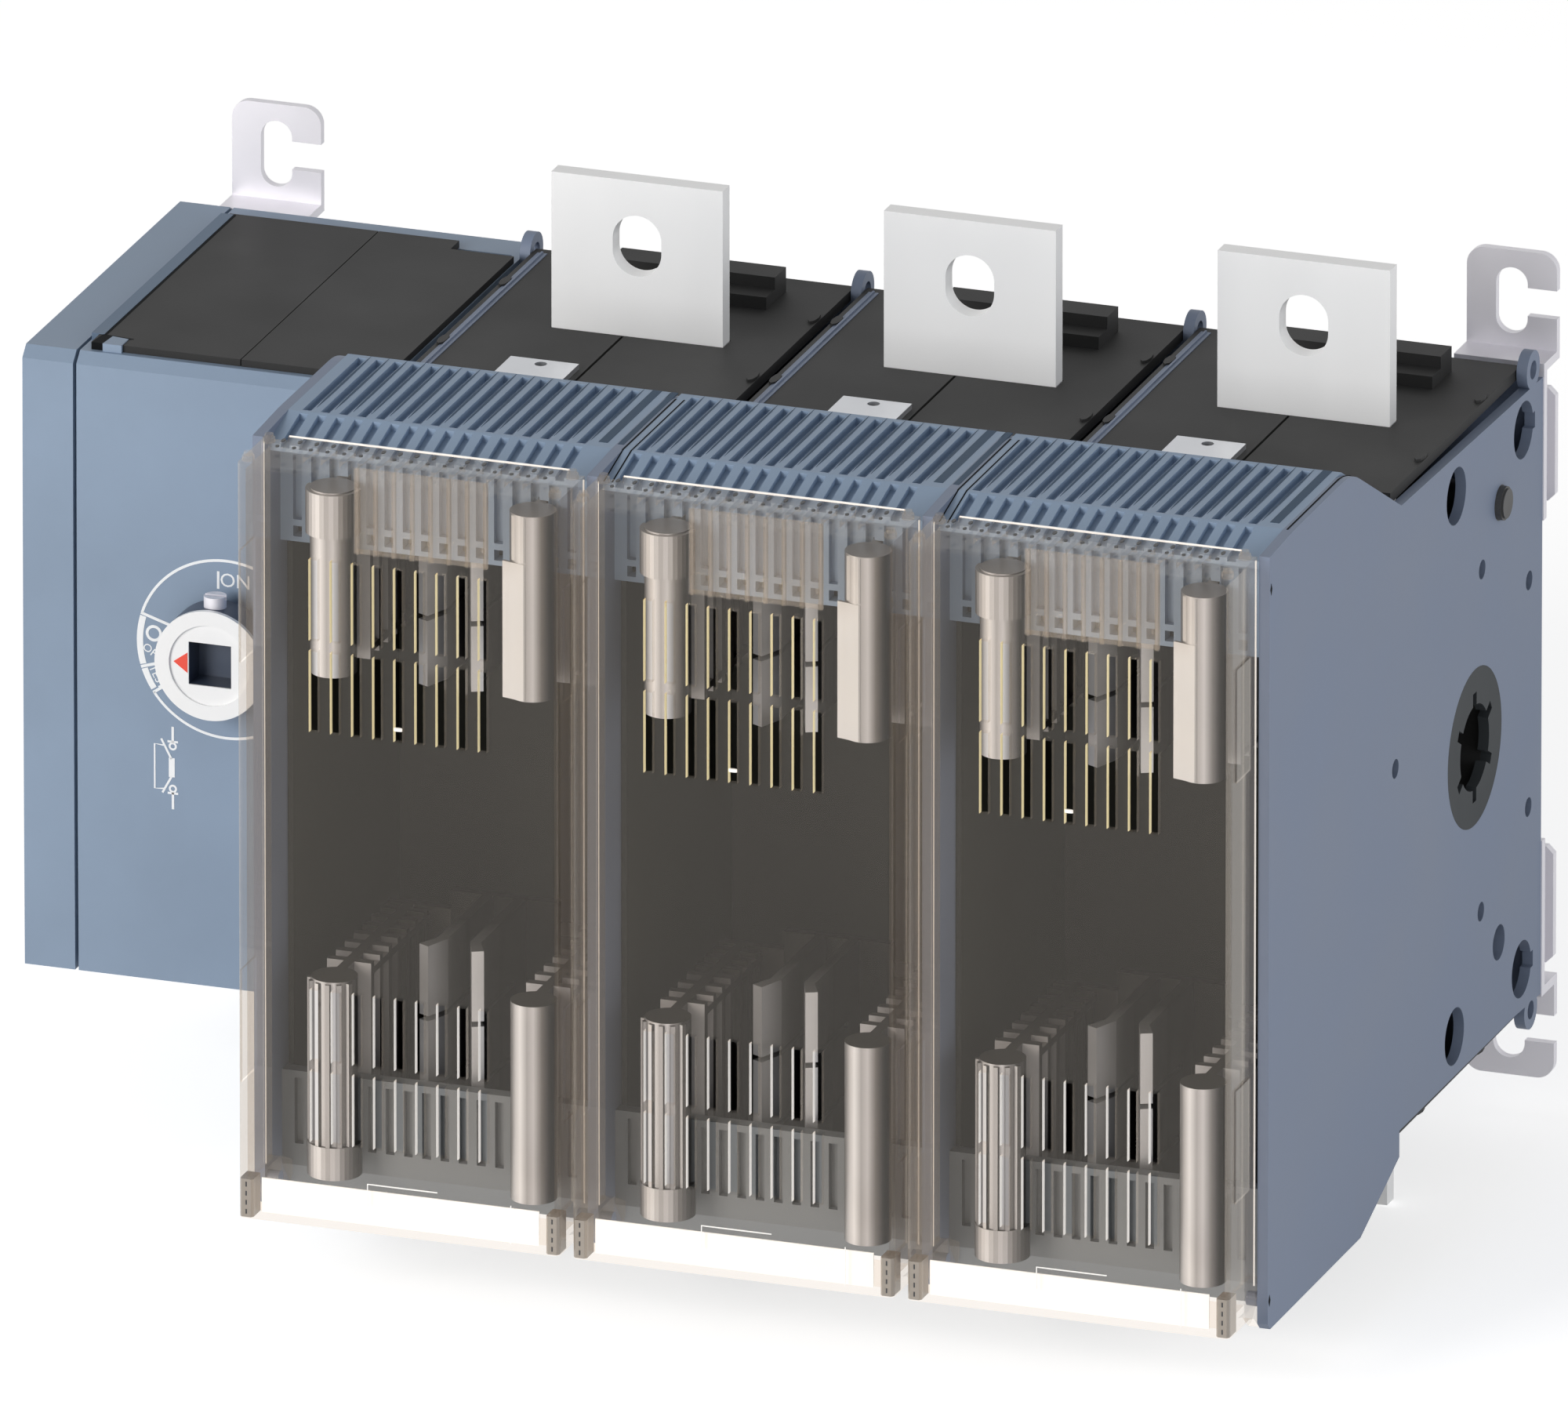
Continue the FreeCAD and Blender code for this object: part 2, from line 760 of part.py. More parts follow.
def tray(pole):
    """The dark lining of a bay: two sides and a back with slots for the bars."""
    body = new_body("fuse_tray")
    gap, skin = d.seat_gap, d.tray_skin
    lining = d.hood_skin * 2

    def side_view(sketch):
        outline(sketch, [
            (apron_back + gap, d.fuse_top - lining),
            (apron_back + gap, 2 * lining - d.fuse_bottom),
            (d.ridge_back + lining / 2, lining - d.fuse_bottom),
            (d.grille_back - lining, lining - d.fuse_bottom),
            (d.tray_back, lining - d.rear_half),
            (d.tray_back, d.rear_half - lining),
            (d.grille_back - lining, d.fuse_top - lining),
        ])

    slab(body, "YZ_Plane", side_view, pole_left + gap, d.pole_pitch - d.wall - 2 * gap)
    cut_slab(body, "YZ_Plane",
             lambda s: rectangle(s, 0, d.tray_back - d.wall, -d.fuse_bottom, d.fuse_top),
             pole_left + gap + skin, d.pole_pitch - d.wall - 2 * gap - 2 * skin)

    def bar_slots(sketch):
        for side in (UP, DOWN):
            left = d.bar_left_up if side == UP else d.bar_left_down
            low, high = band(side, d.bar_level - gap, d.bar_level + d.bar_thick + gap)
            rectangle(sketch, left - gap, left + d.bar_width + gap, low, high)

    cut_slab(body, "XZ_Plane", bar_slots, -d.tray_back, d.wall)
    return place(body, "fuse_tray_%d" % pole, pole_shift(pole))


def guard(pole, side):
    """A finned guard round one fuse contact: two combs and the bridge behind."""
    body = new_body("contact_guard")
    near_end = d.guard_inner_up if side == UP else d.guard_inner
    inner, outer = band(side, near_end, d.guard_outer)
    height = d.guard_outer - near_end
    edge = d.guard_half - d.guard_width
    comb_front = apron_back + d.seat_gap
    bridge_back = d.guard_back + d.guard_bridge

    def both(sketch, near_edge, far_edge, front, back):
        rectangle(sketch, near_edge, far_edge, front, back)
        rectangle(sketch, -far_edge, -near_edge, front, back)

    def posts(sketch):
        for way in (1, -1):
            circle(sketch, way * comb_middle, d.guard_front + d.guard_width / 2,
                   d.guard_width / 2)

    slab(body, "XY_Plane", posts, inner, height)
    slab(body, "XY_Plane",
         lambda s: both(s, comb_middle - d.guard_spine / 2, comb_middle + d.guard_spine / 2,
                        d.guard_front + d.guard_width / 2, d.guard_back),
         inner, height)
    fin = slab(body, "XY_Plane",
               lambda s: both(s, edge, d.guard_half, comb_front, comb_front + d.guard_fin),
               inner, height)
    room = d.guard_back - comb_front
    repeat(body, fin, "Y_Axis", int(room.value / d.guard_fin_pitch.value) + 1, d.guard_fin_pitch)
    roof = near_end + d.guard_tooth
    roof_low, _ = band(side, roof, roof + d.guard_roof)
    slab(body, "XY_Plane",
         lambda s: both(s, edge, d.guard_half, comb_front, d.guard_back),
         roof_low, d.guard_roof)
    bridge_low, _ = band(side, d.guard_bridge_level, d.guard_outer)
    slab(body, "XY_Plane",
         lambda s: rectangle(s, -d.guard_half, d.guard_half, d.guard_back, bridge_back),
         bridge_low, d.guard_outer - d.guard_bridge_level)

    def cheeks(sketch):
        """The bridge's two upright ends, open between them."""
        rectangle(sketch, -d.guard_half, -d.guard_window, d.guard_back, bridge_back)
        rectangle(sketch, edge, d.guard_half, d.guard_back, bridge_back)

    cheek_low, _ = band(side, near_end, d.guard_bridge_level)
    slab(body, "XY_Plane", cheeks, cheek_low, d.guard_bridge_level - near_end)
    left = (d.bar_left_up if side == UP else d.bar_left_down) - pole_middle
    low, high = band(side, d.bar_level - d.seat_gap, d.bar_level + d.bar_thick + d.seat_gap)
    cut_slab(body, "XZ_Plane",
             lambda s: rectangle(s, left - d.seat_gap, left + d.bar_width + d.seat_gap, low, high),
             -bridge_back, d.guard_bridge)
    return place(body, "%s_contact_guard_%d" % (SIDE_NAME[side], pole),
                 pole_shift(pole) + pole_middle)


def fuse_contact(pole, side):
    """Spring jaw for the fuse blade, with its bar to the switch contact."""
    body = new_body("fuse_contact")
    start = d.jaw_near_up if side == UP else d.jaw_near
    near_end, _ = band(side, start, d.jaw_far)
    grip, thick = d.jaw_gap / 2, d.jaw_plate
    base = d.guard_back - d.jaw_base
    flare = d.jaw_front + 2 * thick

    def jaw(sketch):
        right = [
            (grip, base),
            (grip, flare),
            (grip + thick, d.jaw_front - thick / 2),
            (grip + 2 * thick, d.jaw_front),
            (grip + thick, flare),
            (grip + thick, base),
            (grip + 4 * thick, base),
            (grip + 4 * thick, d.guard_back),
        ]
        left = [(-across, back) for across, back in reversed(right)]
        outline(sketch, right + left)

    slab(body, "XY_Plane", jaw, near_end, d.jaw_far - start)

    def finger_gaps(sketch):
        third = (d.jaw_far - start) / 3
        for step in (1, 2):
            low, high = band(side, start + step * third,
                             start + step * third + d.jaw_plate / 2)
            rectangle(sketch, 0, base - 3 * thick, low, high)

    cut_slab(body, "YZ_Plane", finger_gaps, -(grip + 4 * thick), 2 * (grip + 4 * thick))
    left = (d.bar_left_up if side == UP else d.bar_left_down) - pole_middle
    bar_end = d.shaft_back - d.finger_reach - d.contact_gap
    riser_back = d.bar_riser + d.bar_thick
    level, end_level = d.bar_level, d.bar_end_level - d.bar_thick / 2

    def bar(sketch):
        outline(sketch, mirrored([
            (d.guard_back - d.jaw_base, level),
            (d.bar_riser, level),
            (d.bar_riser, end_level),
            (bar_end, end_level),
            (bar_end, end_level + d.bar_thick),
            (riser_back, end_level + d.bar_thick),
            (riser_back, level + d.bar_thick),
            (d.guard_back - d.jaw_base, level + d.bar_thick),
        ], side))

    def tab(sketch):
        deck = d.rear_half + d.cover_skin
        outline(sketch, [
            (d.bar_riser, level + d.bar_thick / 2),
            (d.bar_riser + d.tab_thick, level + d.bar_thick / 2),
            (d.bar_riser + d.tab_thick, deck),
            (d.bar_riser + d.tab_reach, deck),
            (d.bar_riser + d.tab_reach, deck + d.tab_thick),
            (d.bar_riser, deck + d.tab_thick),
        ])

    slab(body, "YZ_Plane", bar, left, d.bar_width)
    if side == UP:
        slab(body, "YZ_Plane", tab, left, d.bar_width)
        cut_slab(body, "XY_Plane",
                 lambda s: circle(s, left + d.bar_width / 2,
                                  d.bar_riser + d.tab_reach - 2 * d.tab_hole, d.tab_hole),
                 d.rear_half + d.cover_skin, d.tab_thick)
    return place(body, "%s_fuse_contact_%d" % (SIDE_NAME[side], pole),
                 pole_shift(pole) + pole_middle)


# Switch shaft, moving contacts and the splined end ring


def switch_shaft():
    """One moulded shaft with a drum in each pole and a bored right end."""
    end = row_length - half_wall
    parts = [rod("x", -d.shaft_left, d.shaft_back, 0, d.journal, end + d.shaft_left)]
    for pole in POLES:
        start = pole_shift(pole) + d.drum_side
        parts.append(rod("x", start, d.shaft_back, 0, d.drum, d.pole_pitch - 2 * d.drum_side))
    flange = d.drum_side - half_wall
    parts.append(rod("x", end - flange, d.shaft_back, 0,
                     d.ring_notch_reach + 2 * d.wall, flange))
    bore_depth = 4 * d.wall
    bore = rod("x", end - bore_depth, d.shaft_back, 0, d.ring_notch_reach, bore_depth)
    return place(cut(join(parts), [bore]), "switch_shaft")


def sector(left, radius, length, start_angle, sweep):
    """A slice of a cylinder round the shaft's axis, angles from the back upward."""
    slice_ = rod("x", left, d.shaft_back, 0, radius, length)
    bind(slice_, "Angle", sweep)
    base = slice_.Placement.Base
    slice_.Placement = Placement(base, TURN_TO["x"] * Rotation(Vector(0, 0, 1), start_angle + 90))
    return slice_


def moving_contacts(pole):
    """Two copper bridges on the drum, shown open, one for each break."""
    blades = []
    tip_sweep = d.finger_angle.value
    terminal_angle = math.degrees(math.atan2(
        d.finger_reach.value,
        (d.terminal_front + d.terminal_thick / 2 - d.shaft_back).value))
    bar_angle = 180 - math.degrees(math.asin(d.bar_end_level.value / d.finger_reach.value))
    for side in (UP, DOWN):
        bar = d.bar_left_up if side == UP else d.bar_left_down
        left = bar + (d.bar_width - d.contact_width) / 2
        tips = sorted(side * angle - d.switch_travel.value
                      for angle in (terminal_angle, bar_angle))
        bridge = tips[1] - tips[0] + tip_sweep
        parts = [sector(left, d.bridge_reach, d.contact_width, tips[0] - tip_sweep / 2, bridge)]
        for tip in tips:
            parts.append(sector(left, d.finger_reach, d.contact_width,
                                tip - tip_sweep / 2, d.finger_angle))
        drum = rod("x", left, d.shaft_back, 0, d.drum, d.contact_width)
        blades.append(cut(join(parts), [drum]))
    return place(join(blades), "moving_contacts_%d" % pole, pole_shift(pole))


def end_ring():
    """The ring at the shaft's right end, with a notched bore for a coupling."""
    body = new_body("shaft_end_ring")
    slab(body, "YZ_Plane", lambda s: circle(s, 0, 0, d.ring_outer), -half_wall, d.ring_thick)
    cut_slab(body, "YZ_Plane", lambda s: circle(s, 0, 0, d.ring_bore), -half_wall, d.ring_thick)
    half_notch = d.ring_notch_width / 2
    notch = cut_slab(body, "YZ_Plane",
                     lambda s: rectangle(s, -half_notch, half_notch, 0, d.ring_notch_reach),
                     -half_wall, d.ring_thick)
    pattern = body.newObject("PartDesign::PolarPattern", "notches")
    pattern.Originals = [notch]
    axis = [f for f in body.Origin.OriginFeatures if f.Role == "X_Axis"][0]
    pattern.Axis = (axis, [""])
    bind(pattern, "Occurrences", d.ring_notches)
    body.Tip = pattern
    place(body, "shaft_end_ring", row_length)
    bind(body, "Placement.Base.y", row_y + d.shaft_back)
    return body


def shaft_lever():
    """The lever on the shaft's left end; the snap mechanism works in its fork."""
    left = -d.shaft_left - d.lever_thick
    front = d.shaft_back - d.lever_reach
    lever = box(left, left + d.lever_thick, front, d.shaft_back + d.journal,
                -d.lever_tip, d.lever_tip)
    fork = box(left, left + d.lever_thick, front, front + d.lever_tip,
               -d.lever_tip / 2, d.lever_tip / 2)
    return place(cut(lever, [fork]), "shaft_lever")


def tie_rods():
    """Two rods that clamp the walls together, the upper one flush outside."""
    rods = []
    for side, recess in ((UP, 0), (DOWN, d.rod_recess)):
        rods.append(rod("x", -half_wall, d.rod_back, side * d.rod_level, d.rod,
                        row_length + d.wall - recess))
    return place(join(rods), "tie_rods")


# Drive unit


def drive_outline(inset):
    """Side view of the drive unit, its front bowed and its top front edge cut."""
    front = d.drive_front + inset
    low, high = inset - d.drive_bottom, d.drive_top - inset
    middle = (d.drive_top - d.drive_bottom) / 2
    half = (d.drive_top + d.drive_bottom) / 2
    radius = (half * half + d.drive_bow * d.drive_bow) / (2 * d.drive_bow)
    centre = front - d.drive_bow + radius

    def draw(sketch):
        outline(sketch, [
            (front, high - d.wall, ("x", centre)),
            (front, low),
            (d.housing_depth - inset, low),
            (d.housing_depth - inset, high),
            (front + d.wall, high),
        ])

    return draw


def drive_case():
    """The drive's moulded case, open on top under its two black covers."""
    body = new_body("drive_case")
    right = -half_wall
    slab(body, "YZ_Plane", drive_outline(as_size(0)), case_left, right - case_left)
    cut_slab(body, "YZ_Plane", drive_outline(d.drive_skin), case_left,
             right - case_left - d.drive_skin)
    lip = d.wall / 3
    cut_slab(body, "XY_Plane",
             lambda s: rectangle(s, drive_left + d.deck_left + lip, right - d.drive_skin,
                                 d.deck_front + lip, d.deck_back - lip),
             d.drive_top - d.drive_skin, d.drive_skin)
    cut_slab(body, "YZ_Plane", lambda s: circle(s, d.shaft_back, 0, d.journal + d.shaft_gap),
             right - d.drive_skin, d.drive_skin)
    cut_slab(body, "XZ_Plane", lambda s: circle(s, hub_x, d.hub_level, d.spindle + d.shaft_gap),
             -(d.drive_front + d.drive_skin), d.drive_bow + 2 * d.drive_skin)
    return place(body, "drive_case")


def drive_end_cap():
    """The cap that closes the drive case on the left."""
    body = new_body("drive_end_cap")
    width = d.cap_width - d.cap_groove
    slab(body, "YZ_Plane", drive_outline(as_size(0)), drive_left, width)
    slab(body, "YZ_Plane", drive_outline(d.drive_skin + d.seat_gap),
         drive_left + width, d.cap_groove + d.wall)
    cut_slab(body, "YZ_Plane", drive_outline(2 * d.drive_skin), drive_left + d.drive_skin,
             width + d.cap_groove + d.wall)
    return place(body, "drive_end_cap")


def deck_cover(left, right, label, notch=None):
    """A black plate that closes part of the drive's top."""
    body = new_body("deck_cover")
    low, high = d.deck_front, d.deck_back
    if notch is None:
        corners = [(left, low), (right, low), (right, high), (left, high)]
    else:
        corners = [(left, low), (right, low), (right, d.deck_notch_back),
                   (notch, d.deck_notch_back), (notch, high), (left, high)]
    slab(body, "XY_Plane", lambda s: outline(s, corners), d.drive_top, d.cover_skin - d.wall / 3)
    return place(body, label)


def bearing_plate():
    """The inner plate that carries the back of the drive spindle."""
    plate = box(hub_x - d.bearing_half, hub_x + d.bearing_half, d.bearing_front,
                d.bearing_front + d.bearing_thick, d.drive_skin - d.drive_bottom,
                d.drive_top - d.drive_skin)
    bore = rod("y", hub_x, d.bearing_front, d.hub_level, d.spindle + d.shaft_gap,
               d.bearing_thick)
    return place(cut(plate, [bore]), "bearing_plate")


def drive_spindle():
    """The spindle behind the hub, with the crank arm of the mechanism."""
    start = d.drive_front - d.drive_bow - d.seat_gap
    shaft = rod("y", hub_x, start, d.hub_level, d.spindle, d.spindle_back - start)
    arm = box(hub_x - d.crank_width / 2, hub_x + d.crank_width / 2,
              d.crank_front, d.crank_front + d.crank_thick,
              d.hub_level - d.crank_reach, d.hub_level)
    return place(join([shaft, arm]), "drive_spindle")


def drive_hub():
    """The round hub on the drive's face, with a dished front and square socket."""
    body = new_body("drive_hub")
    back = d.drive_front - d.drive_bow - d.seat_gap
    front = back - d.hub_length
    half_socket = d.hub_socket / 2
    slab(body, "XZ_Plane", lambda s: circle(s, 0, 0, d.hub_outer), -back, d.hub_length)
    cut_slab(body, "XZ_Plane", lambda s: circle(s, 0, 0, d.hub_inner),
             -(front + d.hub_dish), d.hub_dish)
    cut_slab(body, "XZ_Plane",
             lambda s: rectangle(s, -half_socket, half_socket, -half_socket, half_socket),
             -(front + d.hub_socket_depth), d.hub_socket_depth)
    place(body, "drive_hub", hub_x)
    bind(body, "Placement.Base.z", d.hub_level)
    return body


def hub_screw():
    """The slotted set screw in the top of the hub."""
    middle = d.drive_front - d.drive_bow - d.seat_gap - d.hub_length / 2
    start = d.hub_level + d.hub_outer - d.hub_screw_seat
    top = start + d.hub_screw_seat + d.hub_screw_rise
    screw = rod("z", hub_x, middle, start, d.hub_screw, d.hub_screw_seat + d.hub_screw_rise)
    slot = box(hub_x - d.hub_screw, hub_x + d.hub_screw, middle - d.hub_screw_slot / 2,
               middle + d.hub_screw_slot / 2, top - d.hub_screw_slot, top)
    return place(cut(screw, [slot]), "hub_screw")


# Mounting feet


def foot(label, shift, side):
    """A folded foot: strap on the housing's back, flange and slotted ear."""
    body = new_body("mounting_foot")
    half = d.foot_width / 2
    back = d.housing_depth + d.stand_off
    thick = d.foot_thick
    bend = d.foot_bend

    def fold(sketch):
        outline(sketch, mirrored([
            (d.housing_depth, d.foot_strap),
            (d.housing_depth + thick, d.foot_strap),
            (d.housing_depth + thick, bend),
            (back, bend),
            (back, d.foot_reach),
            (back - thick, d.foot_reach),
            (back - thick, bend + thick),
            (d.housing_depth, bend + thick),
        ], side))

    folded = slab(body, "YZ_Plane", fold, -half, d.foot_width)
    fillet(body, folded, d.foot_round,
           lambda middle, along: near(middle.z, side * d.foot_reach) and abs(along.y) > 0.9)
    level = side * d.foot_slot_level
    run = d.slot_length / 2 - d.slot_radius
    mouth = d.slot_mouth / 2

    def slot(sketch):
        outline(sketch, [
            (d.slot_radius, level - run),
            (d.slot_radius, level - mouth),
            (half + thick, level - mouth),
            (half + thick, level + mouth),
            (d.slot_radius, level + mouth),
            (d.slot_radius, level + run, ("y", level + run)),
            (-d.slot_radius, level + run),
            (-d.slot_radius, level - run, ("y", level - run)),
        ])

    cut_slab(body, "XZ_Plane", slot, -back, thick)
    return place(body, label, shift)


# Fuse covers


def fuse_cover(pole):
    """A clear cover that swings forward and down on two hinge arms."""
    body = new_body("fuse_cover")
    left, right = d.cover_side_gap, d.pole_pitch - d.cover_side_gap
    skin = d.cover_wall
    deep = d.cover_front - d.cover_rear_gap
    shell = slab(body, "XZ_Plane",
                 lambda s: rectangle(s, left, right, -d.cover_bottom, d.cover_top),
                 d.cover_rear_gap, deep)
    fillet(body, shell, skin * 0.9,
           lambda middle, along: near(middle.y, -d.cover_front) and abs(along.z) > 0.9)
    cut_slab(body, "XZ_Plane",
             lambda s: rectangle(s, left + skin, right - skin,
                                 skin - d.cover_bottom, d.cover_top - skin),
             d.cover_rear_gap, deep - skin)

    def probe_slots(sketch):
        first = pole_middle - (d.probe_count - 1) * d.probe_pitch / 2 - d.probe_width / 2
        for low, high in ((d.probe_bottom, d.probe_top), (-d.probe_low_bottom, -d.probe_low_top)):
            middle = (low + high) / 2
            rectangle(sketch, first, first + d.probe_width, low, middle - d.probe_bar / 2)
            rectangle(sketch, first, first + d.probe_width, middle + d.probe_bar / 2, high)

    slots = cut_slab(body, "XZ_Plane", probe_slots, d.cover_front - skin, skin)
    repeat(body, slots, "X_Axis", int(d.probe_count.value), d.probe_pitch)
    vent = cut_slab(body, "XY_Plane",
                    lambda s: rectangle(s, d.vent_first, d.vent_first + d.vent_width,
                                        -d.vent_front, -d.vent_back),
                    d.cover_top - skin, skin)
    repeat(body, vent, "X_Axis", int(d.vent_count.value), d.rib_pitch)
    slab(body, "XY_Plane",
         lambda s: rectangle(s, d.lip_left, d.lip_right, -skin, -d.cover_rear_gap),
         d.cover_top, d.lip_rise)

    def pads(sketch):
        rectangle(sketch, -d.pad_front, -d.pad_back, d.pad_low, d.pad_high)
        rectangle(sketch, -d.pad_front, -d.pad_back,
                  d.pad_drop - d.pad_high, d.pad_drop - d.pad_low)

    def hook(sketch):
        """The arm beside the wall, down and back round the hinge pin."""
        outline(sketch, [
            (-3 * d.hinge_eye, d.hook_rise - d.hinge_level),
            (-3 * d.hinge_eye, d.cover_wall - d.cover_bottom),
            (-d.cover_wall, -d.hinge_level - d.hook_drop / 2),
            (d.hinge_back, -d.hinge_level - d.hook_drop),
            (2 * d.hinge_back, -d.hinge_level - d.hook_drop),
            (d.hook_back, -d.hinge_level - d.hinge_pin),
            (d.hook_back, d.hinge_pin - d.hinge_level),
            (d.hinge_back, d.hook_rise - d.hinge_level),
        ])

    for start, outside in ((left, left - d.pad_rise), (right - d.hinge_arm, right)):
        slab(body, "YZ_Plane", hook, start, d.hinge_arm)
        cut_slab(body, "YZ_Plane",
                 lambda s: circle(s, d.hinge_back, -d.hinge_level, d.hinge_pin + d.shaft_gap),
                 start, d.hinge_arm)
        slab(body, "YZ_Plane", pads, outside, d.pad_rise)
    return place(body, "fuse_cover_%d" % pole, pole_shift(pole))


for pole in POLES:
    pole_housing(pole)
    tray(pole)
    for side in (UP, DOWN):
        hood(pole, side)
        rear_cover(pole, side)
        terminal(pole, side)
        guard(pole, side)
        fuse_contact(pole, side)
    moving_contacts(pole)
    fuse_cover(pole)
side_panel()
switch_shaft()
end_ring()
shaft_lever()
tie_rods()
drive_case()
drive_end_cap()
deck_cover(drive_left + d.deck_left, drive_left + d.deck_seam - d.seat_gap, "drive_cover_left")
deck_cover(drive_left + d.deck_seam, -half_wall - d.seat_gap, "drive_cover_right",
           drive_left + d.deck_notch_left)
bearing_plate()
drive_spindle()
drive_hub()
hub_screw()
left_slot = d.foot_left_inset - d.drive_width
right_slot = row_length - d.foot_right_inset
for side in (UP, DOWN):
    foot("%s_left_foot" % SIDE_NAME[side], left_slot, side)
    foot("%s_right_foot" % SIDE_NAME[side], right_slot, side)

doc.recompute()

faults = ["%s %s" % (thing.Label, thing.State) for thing in doc.Objects
          if "Invalid" in thing.State or "Error" in thing.State]
for piece in pieces:
    if piece.Shape.isNull() or not piece.Shape.isValid() or piece.Shape.Volume <= 0:
        faults.append("%s has no valid shape" % piece.Label)
if faults:
    raise RuntimeError("; ".join(faults))

os.makedirs("parts", exist_ok=True)
for piece in pieces:
    piece.Shape.exportStep(os.path.join("parts", piece.Label + ".step"))
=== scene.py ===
# Looks for a fuse switch disconnector: a row of pole housings with clear fuse
# covers, ribbed hoods and flat bars, and a drive unit at the left end.
import math

import bmesh
import bpy
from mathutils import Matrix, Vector
from mathutils.bvhtree import BVHTree


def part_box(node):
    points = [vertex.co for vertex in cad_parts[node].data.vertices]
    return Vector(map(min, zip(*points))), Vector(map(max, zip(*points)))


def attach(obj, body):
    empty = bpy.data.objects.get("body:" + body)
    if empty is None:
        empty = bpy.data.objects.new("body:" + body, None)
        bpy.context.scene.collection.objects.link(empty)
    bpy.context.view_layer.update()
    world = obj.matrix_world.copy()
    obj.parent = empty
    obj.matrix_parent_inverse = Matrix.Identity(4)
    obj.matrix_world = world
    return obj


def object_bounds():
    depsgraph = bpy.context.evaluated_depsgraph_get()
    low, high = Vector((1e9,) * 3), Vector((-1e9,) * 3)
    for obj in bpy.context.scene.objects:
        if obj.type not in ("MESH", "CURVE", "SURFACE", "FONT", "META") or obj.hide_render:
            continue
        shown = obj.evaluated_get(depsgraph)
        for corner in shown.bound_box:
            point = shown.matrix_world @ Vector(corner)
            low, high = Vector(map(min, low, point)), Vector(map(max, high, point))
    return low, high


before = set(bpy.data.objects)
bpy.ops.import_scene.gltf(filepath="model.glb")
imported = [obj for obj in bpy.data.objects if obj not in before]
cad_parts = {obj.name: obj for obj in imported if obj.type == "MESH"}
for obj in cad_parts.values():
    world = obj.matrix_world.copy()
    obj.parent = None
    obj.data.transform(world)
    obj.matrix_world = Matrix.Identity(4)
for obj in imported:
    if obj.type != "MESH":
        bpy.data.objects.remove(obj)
cad_box = [list(corner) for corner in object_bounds()]


# ---- Camera and studio ----
# The photograph looks from the right and above, from far away, so its lines
# are almost parallel. The switch stands just above a white floor.
POLES = (1, 2, 3)
POLE_PITCH = 95.0
ROW_START = Vector((-97.0, -238.0, 0.0))


def at(x, y, z):
    """Metres from millimetres right of the first wall, behind its front edge and up."""
    return (Vector((x, y, z)) + ROW_START) / 1000.0


scene = bpy.context.scene
scene.view_settings.view_transform = "Standard"
CAMERA_TURN, CAMERA_RISE = math.radians(19.5), math.radians(20.0)
CAMERA_AIM = at(110.4, 110.0, 8.7)
CAMERA_AWAY, CAMERA_LENS = 17.575, 1500.0
camera = bpy.data.objects.new("camera", bpy.data.cameras.new("camera"))
scene.collection.objects.link(camera)
camera.data.lens = CAMERA_LENS
camera.data.sensor_width = 36.0
camera.data.clip_end = 100.0
towards = Vector((
    math.sin(CAMERA_TURN) * math.cos(CAMERA_RISE),
    -math.cos(CAMERA_TURN) * math.cos(CAMERA_RISE),
    math.sin(CAMERA_RISE),
))
camera.location = CAMERA_AIM + towards * CAMERA_AWAY
camera.rotation_euler = towards.to_track_quat("Z", "Y").to_euler()
scene.camera = camera


def srgb(code):
    """A linear colour with alpha from a colour written as six hex digits."""
    parts = [int(code[i:i + 2], 16) / 255.0 for i in (1, 3, 5)]
    lin = [p / 12.92 if p <= 0.04045 else ((p + 0.055) / 1.055) ** 2.4 for p in parts]
    return (*lin, 1.0)


def new_material(name):
    """An empty node material and its tree."""
    material = bpy.data.materials.new(name)
    material.use_nodes = True
    material.node_tree.nodes.clear()
    return material, material.node_tree


def add(tree, kind, settings=None, **links):
    """Adds a node; links name its inputs by their socket and take a value or an output."""
    made = tree.nodes.new(kind)
    for key, value in (settings or {}).items():
        setattr(made, key, value)
    for key, value in links.items():
        numbered = key[0] == "i" and key[1:].isdigit()
        socket = made.inputs[int(key[1:]) if numbered else key.replace("_", " ")]
        if isinstance(value, bpy.types.NodeSocket):
            tree.links.new(value, socket)
        else:
            socket.default_value = value
    return made


def lamp(name, place, aim, watts, size, colour):
    """A square soft box that faces a point of the switch."""
    light = bpy.data.lights.new(name, "AREA")
    light.energy, light.size, light.color = watts, size, srgb(colour)[:3]
    made = bpy.data.objects.new(name, light)
    scene.collection.objects.link(made)
    made.location = place
    made.rotation_euler = (Vector(place) - Vector(aim)).to_track_quat("Z", "Y").to_euler()
    return made


MIDDLE = (0.0, -0.1, 0.0)
lamp("key_light", (-1.2, -2.5, 0.9), MIDDLE, 44.0, 1.2, "#FFFDFA")
lamp("side_light", (2.4, -0.9, 0.5), MIDDLE, 12.0, 1.2, "#F6F9FF")


def seen_directly(tree, *rays):
    """One where a ray of any of these kinds arrives, and zero elsewhere."""
    path = add(tree, "ShaderNodeLightPath")
    seen = path.outputs[rays[0]]
    for ray in rays[1:]:
        seen = add(tree, "ShaderNodeMath", {"operation": "MAXIMUM"},
                   i0=seen, i1=path.outputs[ray]).outputs[0]
    return seen


